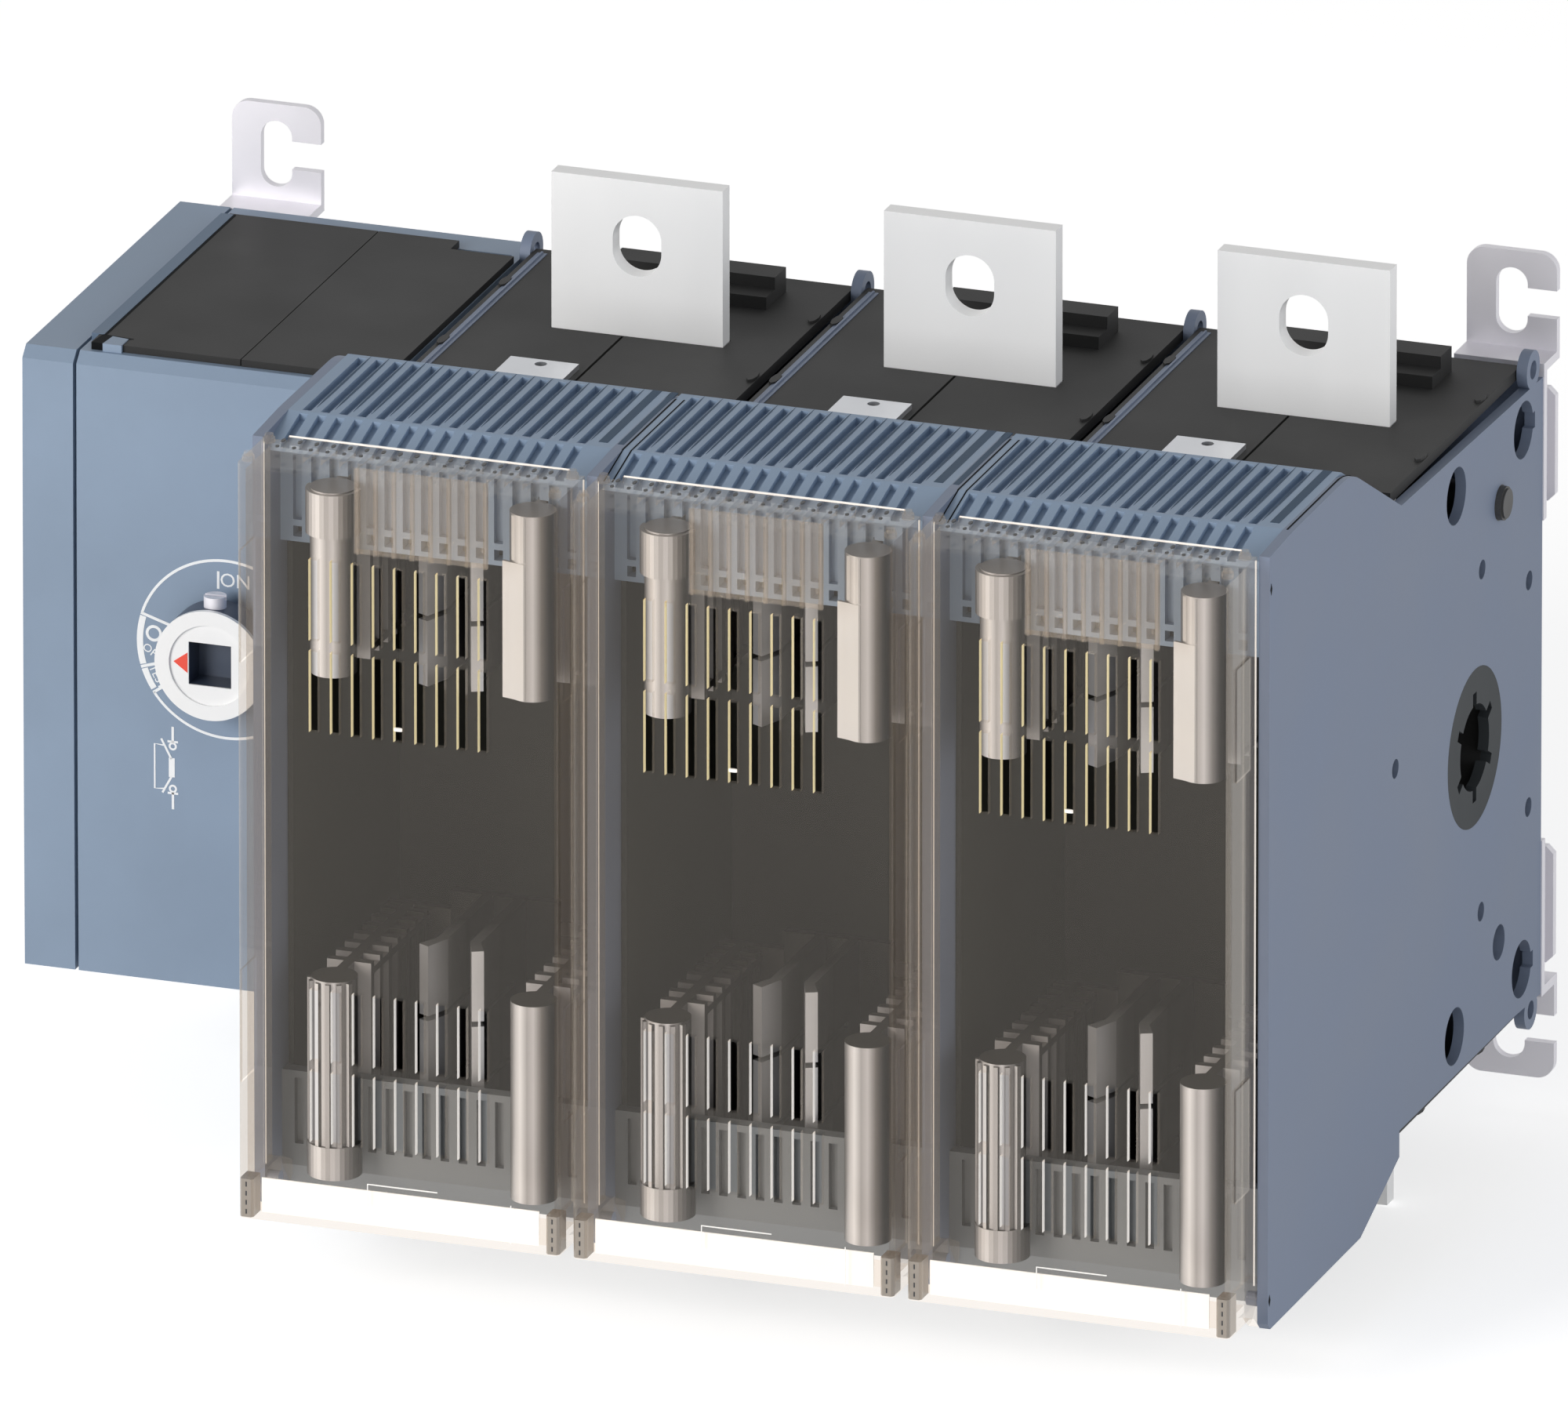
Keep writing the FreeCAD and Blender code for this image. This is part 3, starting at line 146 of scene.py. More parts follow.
scene.world = bpy.data.worlds.new("studio")
scene.world.use_nodes = True
studio = scene.world.node_tree
studio.nodes.clear()
height = add(studio, "ShaderNodeSeparateXYZ",
             Vector=add(studio, "ShaderNodeTexCoord").outputs["Generated"]).outputs["Z"]
dusk = add(studio, "ShaderNodeMapRange", Value=height, To_Min=0.72, To_Max=0.12)
white = seen_directly(studio, "Is Camera Ray", "Is Glossy Ray", "Is Transmission Ray")
strength = add(studio, "ShaderNodeMath", {"operation": "MAXIMUM"}, i0=dusk.outputs[0], i1=white)
walls = add(studio, "ShaderNodeBackground", Color=srgb("#FFFFFF"), Strength=strength.outputs[0])
add(studio, "ShaderNodeOutputWorld", Surface=walls.outputs[0])

# The paper glows a little to the camera, and fully behind the clear covers, so
# that it shows as white and still carries a soft shadow. From below it is clear.
FLOOR_DROP = 0.0005
FLOOR_HALF = 6.0
floor_level = cad_box[0][2] - FLOOR_DROP
floor_mesh = bpy.data.meshes.new("floor")
floor_mesh.from_pydata(
    [(x * FLOOR_HALF, y * FLOOR_HALF, floor_level) for x, y in ((-1, -1), (1, -1), (1, 1), (-1, 1))],
    [], [(0, 1, 2, 3)])
floor = bpy.data.objects.new("floor", floor_mesh)
scene.collection.objects.link(floor)
paper, tree = new_material("white studio paper")
lift = add(tree, "ShaderNodeMapRange", To_Min=0.0, To_Max=0.62,
           Value=seen_directly(tree, "Is Camera Ray", "Is Glossy Ray", "Is Transmission Ray"))
dull = add(tree, "ShaderNodeBsdfDiffuse", Color=srgb("#F2F2F2"))
glow = add(tree, "ShaderNodeEmission", Color=srgb("#FFFFFF"), Strength=lift.outputs[0])
both = add(tree, "ShaderNodeAddShader", i0=dull.outputs[0], i1=glow.outputs[0])
behind = add(tree, "ShaderNodeMath", {"operation": "GREATER_THAN"}, i1=0.5,
             i0=add(tree, "ShaderNodeLightPath").outputs["Transparent Depth"])
bright = add(tree, "ShaderNodeEmission", Color=srgb("#FFFFFF"), Strength=1.0)
shown = add(tree, "ShaderNodeMixShader", Fac=behind.outputs[0], i1=both.outputs[0],
            i2=bright.outputs[0])
below = add(tree, "ShaderNodeNewGeometry").outputs["Backfacing"]
open_below = add(tree, "ShaderNodeMixShader", Fac=below, i1=shown.outputs[0],
                 i2=add(tree, "ShaderNodeBsdfTransparent").outputs[0])
add(tree, "ShaderNodeOutputMaterial", Surface=open_below.outputs[0])
floor_mesh.materials.append(paper)


# ---- Pole housings and hoods ----
# Moulded in blue-grey glass-filled polyester, the upper hoods in a lighter blue and
# the lower ones in grey. The eye sees a dull skin with a fine grain and faint clouds.


def plastic(name, colour, roughness, grain_mm=0.9, lift_mm=0.05, cloud_mm=45.0, shift=0.06,
            **more):
    """A moulded plastic: a colour with faint clouds, and a fine grain raised as bump."""
    material, tree = new_material(name)
    where = add(tree, "ShaderNodeTexCoord").outputs["Object"]
    cloud = add(tree, "ShaderNodeTexNoise", Vector=where, Scale=1000.0 / cloud_mm, Detail=4.0)
    grain = add(tree, "ShaderNodeTexNoise", Vector=where, Scale=1000.0 / grain_mm, Detail=2.0)
    dull = add(tree, "ShaderNodeMapRange", Value=cloud.outputs["Fac"], From_Min=0.3,
               From_Max=0.7, To_Min=1.0 - shift, To_Max=1.0 + shift)
    tint = add(tree, "ShaderNodeVectorMath", {"operation": "SCALE"}, i0=srgb(colour)[:3],
               Scale=dull.outputs[0])
    rough = add(tree, "ShaderNodeMapRange", Value=cloud.outputs["Fac"], From_Min=0.3,
                From_Max=0.7, To_Min=roughness - 0.05, To_Max=roughness + 0.05)
    bump = add(tree, "ShaderNodeBump", Height=grain.outputs["Fac"], Strength=0.35,
               Distance=lift_mm / 1000.0)
    shader = add(tree, "ShaderNodeBsdfPrincipled", Base_Color=tint.outputs[0],
                 Roughness=rough.outputs[0], Normal=bump.outputs[0], **more)
    add(tree, "ShaderNodeOutputMaterial", Surface=shader.outputs[0])
    return material


def dress(material, *names):
    """Gives CAD nodes their finish."""
    for name in names:
        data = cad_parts[name].data
        data.materials.clear()
        data.materials.append(material)


def each(*patterns):
    """The names of a node in every pole."""
    return [pattern % pole for pattern in patterns for pole in POLES]


housing_plastic = plastic("blue-grey polyester moulding", "#78849A", 0.55)
hood_plastic = plastic("steel-blue hood moulding", "#8B9FB7", 0.55)
apron_plastic = plastic("grey lower hood moulding", "#74797D", 0.55)
dress(housing_plastic, "side_panel", *each("pole_housing_%d"))
dress(hood_plastic, *each("upper_hood_%d"))
dress(apron_plastic, *each("lower_hood_%d"))


def bar_tree():
    """The node tree that sets out Count rounded bars of a Size, one Step apart."""
    made = bpy.data.node_groups.new("row_of_bars", "GeometryNodeTree")
    face = made.interface
    face.new_socket("Geometry", in_out="OUTPUT", socket_type="NodeSocketGeometry")
    names = {}
    for label, kind in (("Count", "Int"), ("Start", "Vector"), ("Step", "Vector"),
                        ("Size", "Vector"), ("Material", "Material")):
        names[label] = face.new_socket(label, in_out="INPUT",
                                       socket_type="NodeSocket" + kind).identifier
    given = made.nodes.new("NodeGroupInput").outputs
    line = add(made, "GeometryNodeMeshLine", Count=given["Count"],
               Start_Location=given["Start"], Offset=given["Step"])
    bar = add(made, "GeometryNodeMeshCylinder", Vertices=8, Radius=0.5, Depth=1.0)
    sized = add(made, "GeometryNodeTransform", Geometry=bar.outputs["Mesh"], Scale=given["Size"])
    row = add(made, "GeometryNodeInstanceOnPoints", Points=line.outputs[0],
              Instance=sized.outputs[0])
    whole = add(made, "GeometryNodeRealizeInstances", Geometry=row.outputs[0])
    skin = add(made, "GeometryNodeSetMaterial", Geometry=whole.outputs[0],
               Material=given["Material"])
    made.links.new(skin.outputs[0], made.nodes.new("NodeGroupOutput").inputs[0])
    return made, names


bars, bar_inputs = bar_tree()


def set_out(shape, material, count, start, step, size):
    """Adds a row of rounded bars to a bmesh; places and sizes are in millimetres."""
    carrier = bpy.data.objects.new("bars", bpy.data.meshes.new("bars"))
    scene.collection.objects.link(carrier)
    modifier = carrier.modifiers.new("bars", "NODES")
    modifier.node_group = bars
    for label, value in (("Count", count), ("Start", at(*start)), ("Step", Vector(step) / 1000.0),
                         ("Size", Vector(size) / 1000.0), ("Material", material)):
        modifier[bar_inputs[label]] = value
    bpy.context.view_layer.update()
    seen = carrier.evaluated_get(bpy.context.evaluated_depsgraph_get())
    mesh = bpy.data.meshes.new_from_object(seen)
    bpy.data.objects.remove(carrier)
    shape.from_mesh(mesh)


def solid(name, shape, material, body):
    """Turns a bmesh of closed shells into a piece that rides on a body."""
    bmesh.ops.remove_doubles(shape, verts=shape.verts, dist=1e-7)
    bmesh.ops.recalc_face_normals(shape, faces=shape.faces)
    mesh = bpy.data.meshes.new(name)
    shape.to_mesh(mesh)
    shape.free()
    mesh.materials.append(material)
    made = bpy.data.objects.new(name, mesh)
    scene.collection.objects.link(made)
    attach(made, body)
    return made


def prism(shape, near, far):
    """Adds the closed solid between two rings of points in millimetres."""
    low, high = [[shape.verts.new(at(*point)) for point in ring] for ring in (near, far)]
    shape.faces.new(low)
    shape.faces.new(high[::-1])
    for n in range(len(near)):
        m = (n + 1) % len(near)
        shape.faces.new((low[m], low[n], high[n], high[m]))


def upright(shape, corners, low, high):
    """Adds an upright prism over corners (X, Y)."""
    prism(shape, [(x, y, low) for x, y in corners], [(x, y, high) for x, y in corners])


# The deep side of each gap between the ribs gets a strip of painted shade, two more strips of
# painted shade run on over the joint of two poles where the last two gaps are, and the joint itself
# shows as two seams of painted shade.
painted_gap_shade = plastic("painted shade in the gaps between the ribs", "#46586C", 0.7, Specular_IOR_Level=0.2)
RIB_PITCH, RIB_COUNT, FIRST_GAP = 5.19, 16, 6.55
HOOD_TOP = 113.0
shape = bmesh.new()
for pole in POLES:
    shift = (pole - 1) * POLE_PITCH
    set_out(shape, painted_gap_shade, RIB_COUNT, (FIRST_GAP + 1.6 + shift, 45.4, HOOD_TOP),
            (RIB_PITCH, 0.0, 0.0), (0.75, 43.0, 0.14))
    for x, wide in ((89.7, 2.6), (94.7, 1.7)) if pole < len(POLES) else ((89.7, 2.6),):
        upright(shape, [(x + shift - wide / 2.0, 23.5), (x + shift + wide / 2.0, 23.5),
                        (x + shift + wide / 2.0, 67.0), (x + shift - wide / 2.0, 67.0)],
                HOOD_TOP - 0.3, HOOD_TOP + 0.07)
solid("hood_gap_shades", shape, painted_gap_shade, "housing")
# A near-black for painted shade in deep gaps and seams, and for small dark marks.
gap_black = plastic("black of a deep gap", "#101214", 0.8, Specular_IOR_Level=0.1)
PROFILE = ((4.6, 109.15), (20.0, 113.0), (62.0, 113.0), (66.0, 112.4), (70.0, 111.3), (106.0, 91.2))
shape = bmesh.new()
for x, wide in ((96.6, 0.5), (99.0, 0.4), (191.6, 0.5), (194.0, 0.4), (284.6, 0.5)):
    ring = [(y, z + 0.08) for y, z in PROFILE] + [(y, z - 0.5) for y, z in PROFILE[::-1]]
    prism(shape, *[[(x + side * wide / 2.0, y, z) for y, z in ring] for side in (-1, 1)])
solid("hood_seams", shape, gap_black, "housing")


# ---- Rear covers ----
# Black glass-filled polyamide plates over the terminals, clipped to the walls.
# They look flat and even, with only a weak sheen.
black_plastic = plastic("black polyamide moulding", "#303030", 0.6, Specular_IOR_Level=0.2)
dress(black_plastic, *each("upper_rear_cover_%d", "lower_rear_cover_%d"))


# Small clips hold each cover to the walls at both sides.
CLIP_RISE = 92.6
shape = bmesh.new()
for side in (1, -1):
    for x in (3.2, 91.8):
        for y in (137.5, 187.0):
            set_out(shape, black_plastic, len(POLES), (x, y, side * CLIP_RISE),
                    (POLE_PITCH, 0.0, 0.0), (2.6, 7.5, 2.4))
solid("rear_cover_clips", shape, black_plastic, "housing")

# A blue rail of the wall shows beside the left edge of each cover.
RAIL_LEFT, RAIL_FRONT, RAIL_BACK, COVER_TOP = 3.4, 109.5, 212.5, 93.0
shape = bmesh.new()
for pole in POLES:
    left = (pole - 1) * POLE_PITCH + RAIL_LEFT
    for low, high, rise in ((left, left + 2.8, 0.25), (left + 1.1, left + 1.7, 0.7)):
        upright(shape, [(low, RAIL_FRONT), (high, RAIL_FRONT), (high, RAIL_BACK), (low, RAIL_BACK)],
                COVER_TOP - 0.6, COVER_TOP + rise)
solid("wall_rails", shape, housing_plastic, "housing")


# ---- Line and load bars ----
# Rolled copper bars with a matt tin plating. They look silvery, with the long
# fine marks of rolling and a few darker clouds where they were handled.


def deeper(tree, where, start, end):
    """Zero at start and one at end, both in mm behind the walls' front edge."""
    back = add(tree, "ShaderNodeSeparateXYZ", Vector=where).outputs["Y"]
    return add(tree, "ShaderNodeMapRange", Value=back, From_Min=at(0.0, start, 0.0).y,
               From_Max=at(0.0, end, 0.0).y).outputs[0]


def mixed(tree, share, near, far):
    """A colour between two, each a value or an output."""
    made = add(tree, "ShaderNodeMix", {"data_type": "RGBA"}, Factor=share)
    sockets = {socket.identifier: socket for socket in made.inputs}
    for key, value in (("A_Color", near), ("B_Color", far)):
        if isinstance(value, bpy.types.NodeSocket):
            tree.links.new(value, sockets[key])
        else:
            sockets[key].default_value = value
    return [out for out in made.outputs if out.identifier == "Result_Color"][0]


def metal(name, colour, roughness, cloud_mm=17.0, marks=(1.0, 1.0, 1.0), shine=1.0, deep=None):
    """Plated metal with faint clouds, drawn out where marks stretches the pattern.

    deep paints shade as a dark tone: the tone, where it starts and is full, and where it ends, in
    mm.
    """
    material, tree = new_material(name)
    where = add(tree, "ShaderNodeTexCoord").outputs["Object"]
    drawn = add(tree, "ShaderNodeMapping", Vector=where, Scale=marks)
    cloud = add(tree, "ShaderNodeTexNoise", Vector=drawn.outputs[0], Scale=1000.0 / cloud_mm,
                Detail=5.0)
    rough = add(tree, "ShaderNodeMapRange", Value=cloud.outputs["Fac"], From_Min=0.3,
                From_Max=0.7, To_Min=roughness - 0.06, To_Max=roughness + 0.06)
    tone = srgb(colour)
    if deep:
        dark, start, end, beyond = deep
        share = add(tree, "ShaderNodeMath", {"operation": "SUBTRACT"},
                    i0=deeper(tree, where, start, end), i1=deeper(tree, where, beyond, beyond + 1.0))
        tone = mixed(tree, share.outputs[0], tone, srgb(dark))
    shader = add(tree, "ShaderNodeBsdfPrincipled", Base_Color=tone, Metallic=shine,
                 Roughness=rough.outputs[0])
    add(tree, "ShaderNodeOutputMaterial", Surface=shader.outputs[0])
    return material


tin = metal("matt tin-plated copper", "#F6F6F6", 0.5, marks=(1.0, 1.0, 0.12), shine=0.25)
dress(tin, *each("line_terminal_%d", "load_terminal_%d"))


# ---- Fuse trays ----
# Dark grey lining of each fuse bay, moulded in one piece and clipped in.
tray_plastic = plastic("dark grey tray moulding", "#2B2C27", 0.65, grain_mm=3.0, lift_mm=0.002,
                       Specular_IOR_Level=0.3)
dress(tray_plastic, *each("fuse_tray_%d"))


# ---- Contact guards ----
# Finned combs on both sides of each contact, moulded in warm grey. Their round front posts carry
# bright upright highlights, painted into the colour by the way each face turns, and the combs get
# painted shade towards the back of the bay.


# From 16 to 46 mm behind the front edge the guards darken: painted shade at the back of the bay.
GUARD_SHADE = (16.0, 46.0)


def painted_sheen_moulding(name, bands, low_roof, high_roof):
    """A moulding with painted sheen: its tone turns with its faces, in upright strips of painted
    highlight and shade on round posts.

    Faces that look up get painted shade in the lower half of the bay and painted light in the upper
    half.
    """
    material, tree = new_material(name)
    spot = add(tree, "ShaderNodeTexCoord").outputs
    turned = add(tree, "ShaderNodeSeparateXYZ", Vector=spot["Normal"]).outputs
    across = add(tree, "ShaderNodeMapRange", Value=turned["X"], From_Min=-1.0, From_Max=1.0)
    # The ramp paints highlight and shade by the sideways turn of each face.
    ramp = add(tree, "ShaderNodeValToRGB", Fac=across.outputs[0])
    stops = ramp.color_ramp.elements
    while len(stops) < len(bands):
        stops.new(1.0)
    for stop, (place, colour) in zip(stops, bands):
        stop.position, stop.color = place, srgb(colour)
    # Upward faces: painted shade low in the bay, painted light high in it.
    level = add(tree, "ShaderNodeMapRange", Value=turned["Z"], From_Min=0.5, From_Max=0.8)
    rise = add(tree, "ShaderNodeSeparateXYZ", Vector=spot["Object"]).outputs["Z"]
    upper = add(tree, "ShaderNodeMapRange", Value=rise, From_Min=-0.01, From_Max=0.01)
    roof = mixed(tree, upper.outputs[0], srgb(low_roof), srgb(high_roof))
    tone = mixed(tree, level.outputs[0], ramp.outputs["Color"], roof)
    # Painted shade: darker towards the back of the bay.
    tone = mixed(tree, deeper(tree, spot["Object"], *GUARD_SHADE), tone, srgb("#3A3633"))
    cloud = add(tree, "ShaderNodeTexNoise", Vector=spot["Object"], Scale=1000.0 / 30.0)
    rough = add(tree, "ShaderNodeMapRange", Value=cloud.outputs["Fac"], From_Min=0.3,
                From_Max=0.7, To_Min=0.28, To_Max=0.36)
    shader = add(tree, "ShaderNodeBsdfPrincipled", Base_Color=tone, Metallic=0.2,
                 Roughness=rough.outputs[0])
    add(tree, "ShaderNodeOutputMaterial", Surface=shader.outputs[0])
    return material


POST_HIGHLIGHT_BANDS = ((0.03, "#505050"), (0.12, "#929294"), (0.22, "#C8C9CC"), (0.36, "#ECEEF2"),
              (0.52, "#ABABAE"), (0.66, "#CCCDD2"), (0.82, "#7A7A7C"), (0.96, "#3A3A3A"))
guard_plastic = painted_sheen_moulding("grey guard moulding with painted sheen", POST_HIGHLIGHT_BANDS, "#4E4D4A", "#A4A19E")
dress(guard_plastic, *each("upper_contact_guard_%d", "lower_contact_guard_%d"))


def arc(across, up, radius, start, end, steps):
    """Points on an arc, with its angles in degrees up from the right."""
    angles = [math.radians(start + (end - start) * n / steps) for n in range(steps + 1)]
    return [(across + radius * math.cos(a), up + radius * math.sin(a)) for a in angles]


# Collars and flanges stand on the posts of each guard: a wide half shell near the
# hood, and a flat wing beside the right-hand post.
POST_LEFT, POST_RIGHT, POST_BACK = 19.1, 75.9, 6.5
COLLAR, POST_SKIN = 7.5, 6.35
for pole in POLES:
    shift = (pole - 1) * POLE_PITCH
    shape = bmesh.new()
    left, right = POST_LEFT + shift, POST_RIGHT + shift
    for low, high in ((85.2, 97.6), (-97.8, -88.5)):
        half_shell = arc(left, POST_BACK, COLLAR, 170.0, 370.0, 20) + \
            arc(left, POST_BACK, POST_SKIN, 370.0, 170.0, 20)
        upright(shape, half_shell, low, high)
    for reach, low, high in ((7.0, 45.6, 84.4), (4.4, 84.9, 97.6)):
        upright(shape, [(right - reach, 1.6), (right - 0.5, 0.0), (right, 0.05), (right, 0.15),
                        (right - reach + 0.3, 2.6)], low, high)
    for turn in (196.0, 222.0, 248.0, 274.0, 300.0, 326.0):
        cos, sin = math.cos(math.radians(turn)), math.sin(math.radians(turn))
        rib = [(left + r * cos - side * sin, POST_BACK + r * sin + side * cos)
               for r, side in ((POST_SKIN, -0.8), (COLLAR - 0.2, -0.6), (COLLAR - 0.2, 0.6),
                               (POST_SKIN, 0.8))]
        upright(shape, rib, -88.6, -42.0)
    solid("guard_collars_%d" % pole, shape, guard_plastic, "housing")


# ---- Fuse contacts ----
# Spring jaws of silvered copper, riveted to flat bars that run back to the switch.
# In the bay they look grey and soft, with a bright line along each lip; from 20 mm back they darken,
# fully by 42 mm and up to 92 mm, as painted shade at the back of the bay.
silvered = metal("dull silvered copper", "#C6C8CC", 0.34, shine=0.75,
                 deep=("#2A2826", 20.0, 42.0, 92.0))
dress(silvered, *each("upper_fuse_contact_%d", "lower_fuse_contact_%d"))


# ---- Switch shaft ----
# A long moulded drum with bare copper bridges, a splined grey ring on its right
# end and a lever on its left. Only the ring and the bore show from outside.
ring_plastic = plastic("grey ring moulding", "#33373A", 0.6, Specular_IOR_Level=0.25)
copper = metal("bare copper contact", "#C88A60", 0.4)
dress(black_plastic, "switch_shaft", "shaft_lever")
dress(copper, *each("moving_contacts_%d"))
dress(ring_plastic, "shaft_end_ring")


# ---- Tie rods ----
# Blackened steel rods that hold the row together. Their turned ends look dark
# grey and slightly oily in the side panel.
steel = metal("blackened steel rod", "#4C4C4C", 0.5, shine=0.5)
dress(steel, "tie_rods")


ROD_BACK, ROD_LEVEL, ROD_HEAD = 190.0, 63.0, 4.7
PANEL_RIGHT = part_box("side_panel")[1].x * 1000.0 - ROW_START.x
shape = bmesh.new()
for radius, low, high in ((ROD_HEAD, -0.3, 1.6), (ROD_HEAD - 0.6, 1.6, 2.2)):
    ring = arc(ROD_BACK, ROD_LEVEL, radius, 0.0, 345.0, 23)
    prism(shape, [(PANEL_RIGHT + low, y, z) for y, z in ring],
          [(PANEL_RIGHT + high, y, z) for y, z in ring])
solid("tie_rod_head", shape, steel, "housing")

# The ends of the hinge pins show as small dark marks on the panel.
shape = bmesh.new()
for level in (102.5, -99.6):
    mark = ((0.5, level), (1.3, level - 1.7), (2.1, level), (1.3, level + 1.7))
    prism(shape, *[[(PANEL_RIGHT + x, y, z) for y, z in mark] for x in (-0.2, 0.06)])
solid("hinge_pin_marks", shape, gap_black, "housing")


# ---- Drive unit ----
# A moulded case with a bowed front, an end cap and two black top plates. It has the same plastic as
# the housings, made lighter as painted light for its front, which faces the lamp.
drive_plastic = plastic("blue-grey drive moulding", "#889AB0", 0.5)
dress(drive_plastic, "drive_case", "drive_end_cap")
dress(black_plastic, "drive_cover_left", "drive_cover_right")
TAB_LEFT, TAB_RIGHT = -82.4, -77.0
DECK_FRONT, DECK_LEVEL = 105.5, 93.0
shape = bmesh.new()
upright(shape, [(TAB_LEFT, DECK_FRONT - 1.0), (TAB_RIGHT, DECK_FRONT - 1.0),
                (TAB_RIGHT, DECK_FRONT + 4.6), (TAB_LEFT + 0.6, DECK_FRONT + 5.4)],
        DECK_LEVEL - 2.6, DECK_LEVEL + 0.25)
solid("deck_tab", shape, drive_plastic, "housing")
# A black strip round the tab is painted shade in its gap.
shape = bmesh.new()
upright(shape, [(TAB_LEFT - 3.4, DECK_FRONT - 0.4), (TAB_LEFT - 0.1, DECK_FRONT - 0.4),
                (TAB_LEFT + 0.5, DECK_FRONT + 5.6), (TAB_RIGHT + 0.2, DECK_FRONT + 4.8),
                (TAB_RIGHT + 1.2, DECK_FRONT + 5.6), (TAB_LEFT - 2.6, DECK_FRONT + 6.6)],
        DECK_LEVEL - 2.0, DECK_LEVEL + 0.08)
solid("deck_tab_gap", shape, gap_black, "housing")
# The rim is a darker copy of the drive plastic, painted shade, and a black strip beside it is
# painted shade in the gap.
rim_painted_shade = plastic("painted shade on the rim of the drive case", "#5B6F86", 0.55)
for name, near, far, top, material in (("deck_rim", -88.2, -84.6, 0.2, rim_painted_shade),
                                       ("deck_rim_gap", -84.7, -83.9, 0.1, gap_black)):
    shape = bmesh.new()
    upright(shape, [(near, DECK_FRONT + 6.4), (far, DECK_FRONT + 6.4), (far, 214.0), (near, 214.0)],
            DECK_LEVEL - 2.2, DECK_LEVEL + top)
    solid(name, shape, material, "housing")


# ---- Spindle and bearing plate ----
# Bright zinc-plated steel, turned and stamped, inside the drive.
zinc = metal("bright zinc-plated steel", "#ECEAF0", 0.42, shine=0.3)
dress(zinc, "drive_spindle", "bearing_plate", "hub_screw")


# ---- Hub ----
# A white moulded face on a socketed body, held by a set screw on top; behind the face the body is
# painted dark blue as the shade of the recess round the hub. The red triangle on the face shows the
# position of the drive.
HUB_X, HUB_LEVEL = -45.6, 11.4
HUB_FACE_DEPTH = 1.3


def hub_face_and_painted_shade():
    """White on the front of the hub, and dark blue painted shade from its socket to its rim."""
    material, tree = new_material("white hub face with painted shade behind it")
    where = add(tree, "ShaderNodeTexCoord").outputs["Object"]
    depth = add(tree, "ShaderNodeSeparateXYZ", Vector=where).outputs["Y"]
    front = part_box("drive_hub")[0].y
    behind = add(tree, "ShaderNodeMath", {"operation": "GREATER_THAN"}, i0=depth,
                 i1=front + HUB_FACE_DEPTH / 1000.0)
    shader = add(tree, "ShaderNodeBsdfPrincipled", Roughness=0.35,
                 Base_Color=mixed(tree, behind.outputs[0], srgb("#F6F6F6"), srgb("#3C4658")))
    add(tree, "ShaderNodeOutputMaterial", Surface=shader.outputs[0])
    return material


dress(hub_face_and_painted_shade(), "drive_hub")


def ink(name, colour):
    """Pad-printed ink: one even colour with a faint gloss and slightly ragged tone."""
    return plastic(name, colour, 0.4, grain_mm=0.25, lift_mm=0.01, shift=0.03)


red_ink = ink("red pointer ink", "#F0503C")
HUB_DISH = 0.8
POINTER = ((-10.4, 0.0), (-6.4, 2.9), (-6.4, -2.9))
hub_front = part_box("drive_hub")[0].y * 1000.0 - ROW_START.y
shape = bmesh.new()
prism(shape, *[[(HUB_X + x, hub_front + HUB_DISH - lift, HUB_LEVEL + z) for x, z in POINTER]
               for lift in (0.12, -0.05)])
solid("hub_pointer", shape, red_ink, "spindle")


# ---- Printed scale and circuit symbol ----
# Pad-printed in white on the bowed front of the drive: a ring round the hub with
# sectors for OFF and TEST, ON at the top, and the symbol of a switch and fuse.
PRINT_LIFT, PRINT_SINK = 0.09, 0.03
RING = 25.4
white_ink = ink("white scale ink", "#F6F8FA")
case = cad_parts["drive_case"].data
case_faces = BVHTree.FromPolygons([v.co for v in case.vertices],
                                  [p.vertices for p in case.polygons])


def face_back(x, z):
    """How far behind the walls' front edge the drive's front lies at a point, in mm."""
    hit = case_faces.ray_cast(at(x, 60.0, z), Vector((0.0, 1.0, 0.0)))[0]
    return hit.y * 1000.0 - ROW_START.y


def stroke(shape, line, width, closed=False):
    """Adds a printed line through points (X, Z), laid on the drive's front."""
    count = len(line)
    rings = []
    for n, point in enumerate(line):
        before = line[n - 1] if n or closed else point
        after = line[(n + 1) % count] if n < count - 1 or closed else point
        way = (Vector(after) - Vector(before)).normalized()
        across = Vector((-way.y, way.x)) * width / 2.0
        ring = []
        for side, lift in ((-1, -PRINT_SINK), (1, -PRINT_SINK), (1, PRINT_LIFT),
                           (-1, PRINT_LIFT)):
            x, z = Vector(point) + across * side
            ring.append(shape.verts.new(at(x, face_back(x, z) - lift, z)))
        rings.append(ring)
    for n in range(count if closed else count - 1):
        here, there = rings[n], rings[(n + 1) % count]
        for k in range(4):
            m = (k + 1) % 4
            shape.faces.new((here[k], here[m], there[m], there[k]))
    if not closed:
        shape.faces.new(rings[0][::-1])
        shape.faces.new(rings[-1])


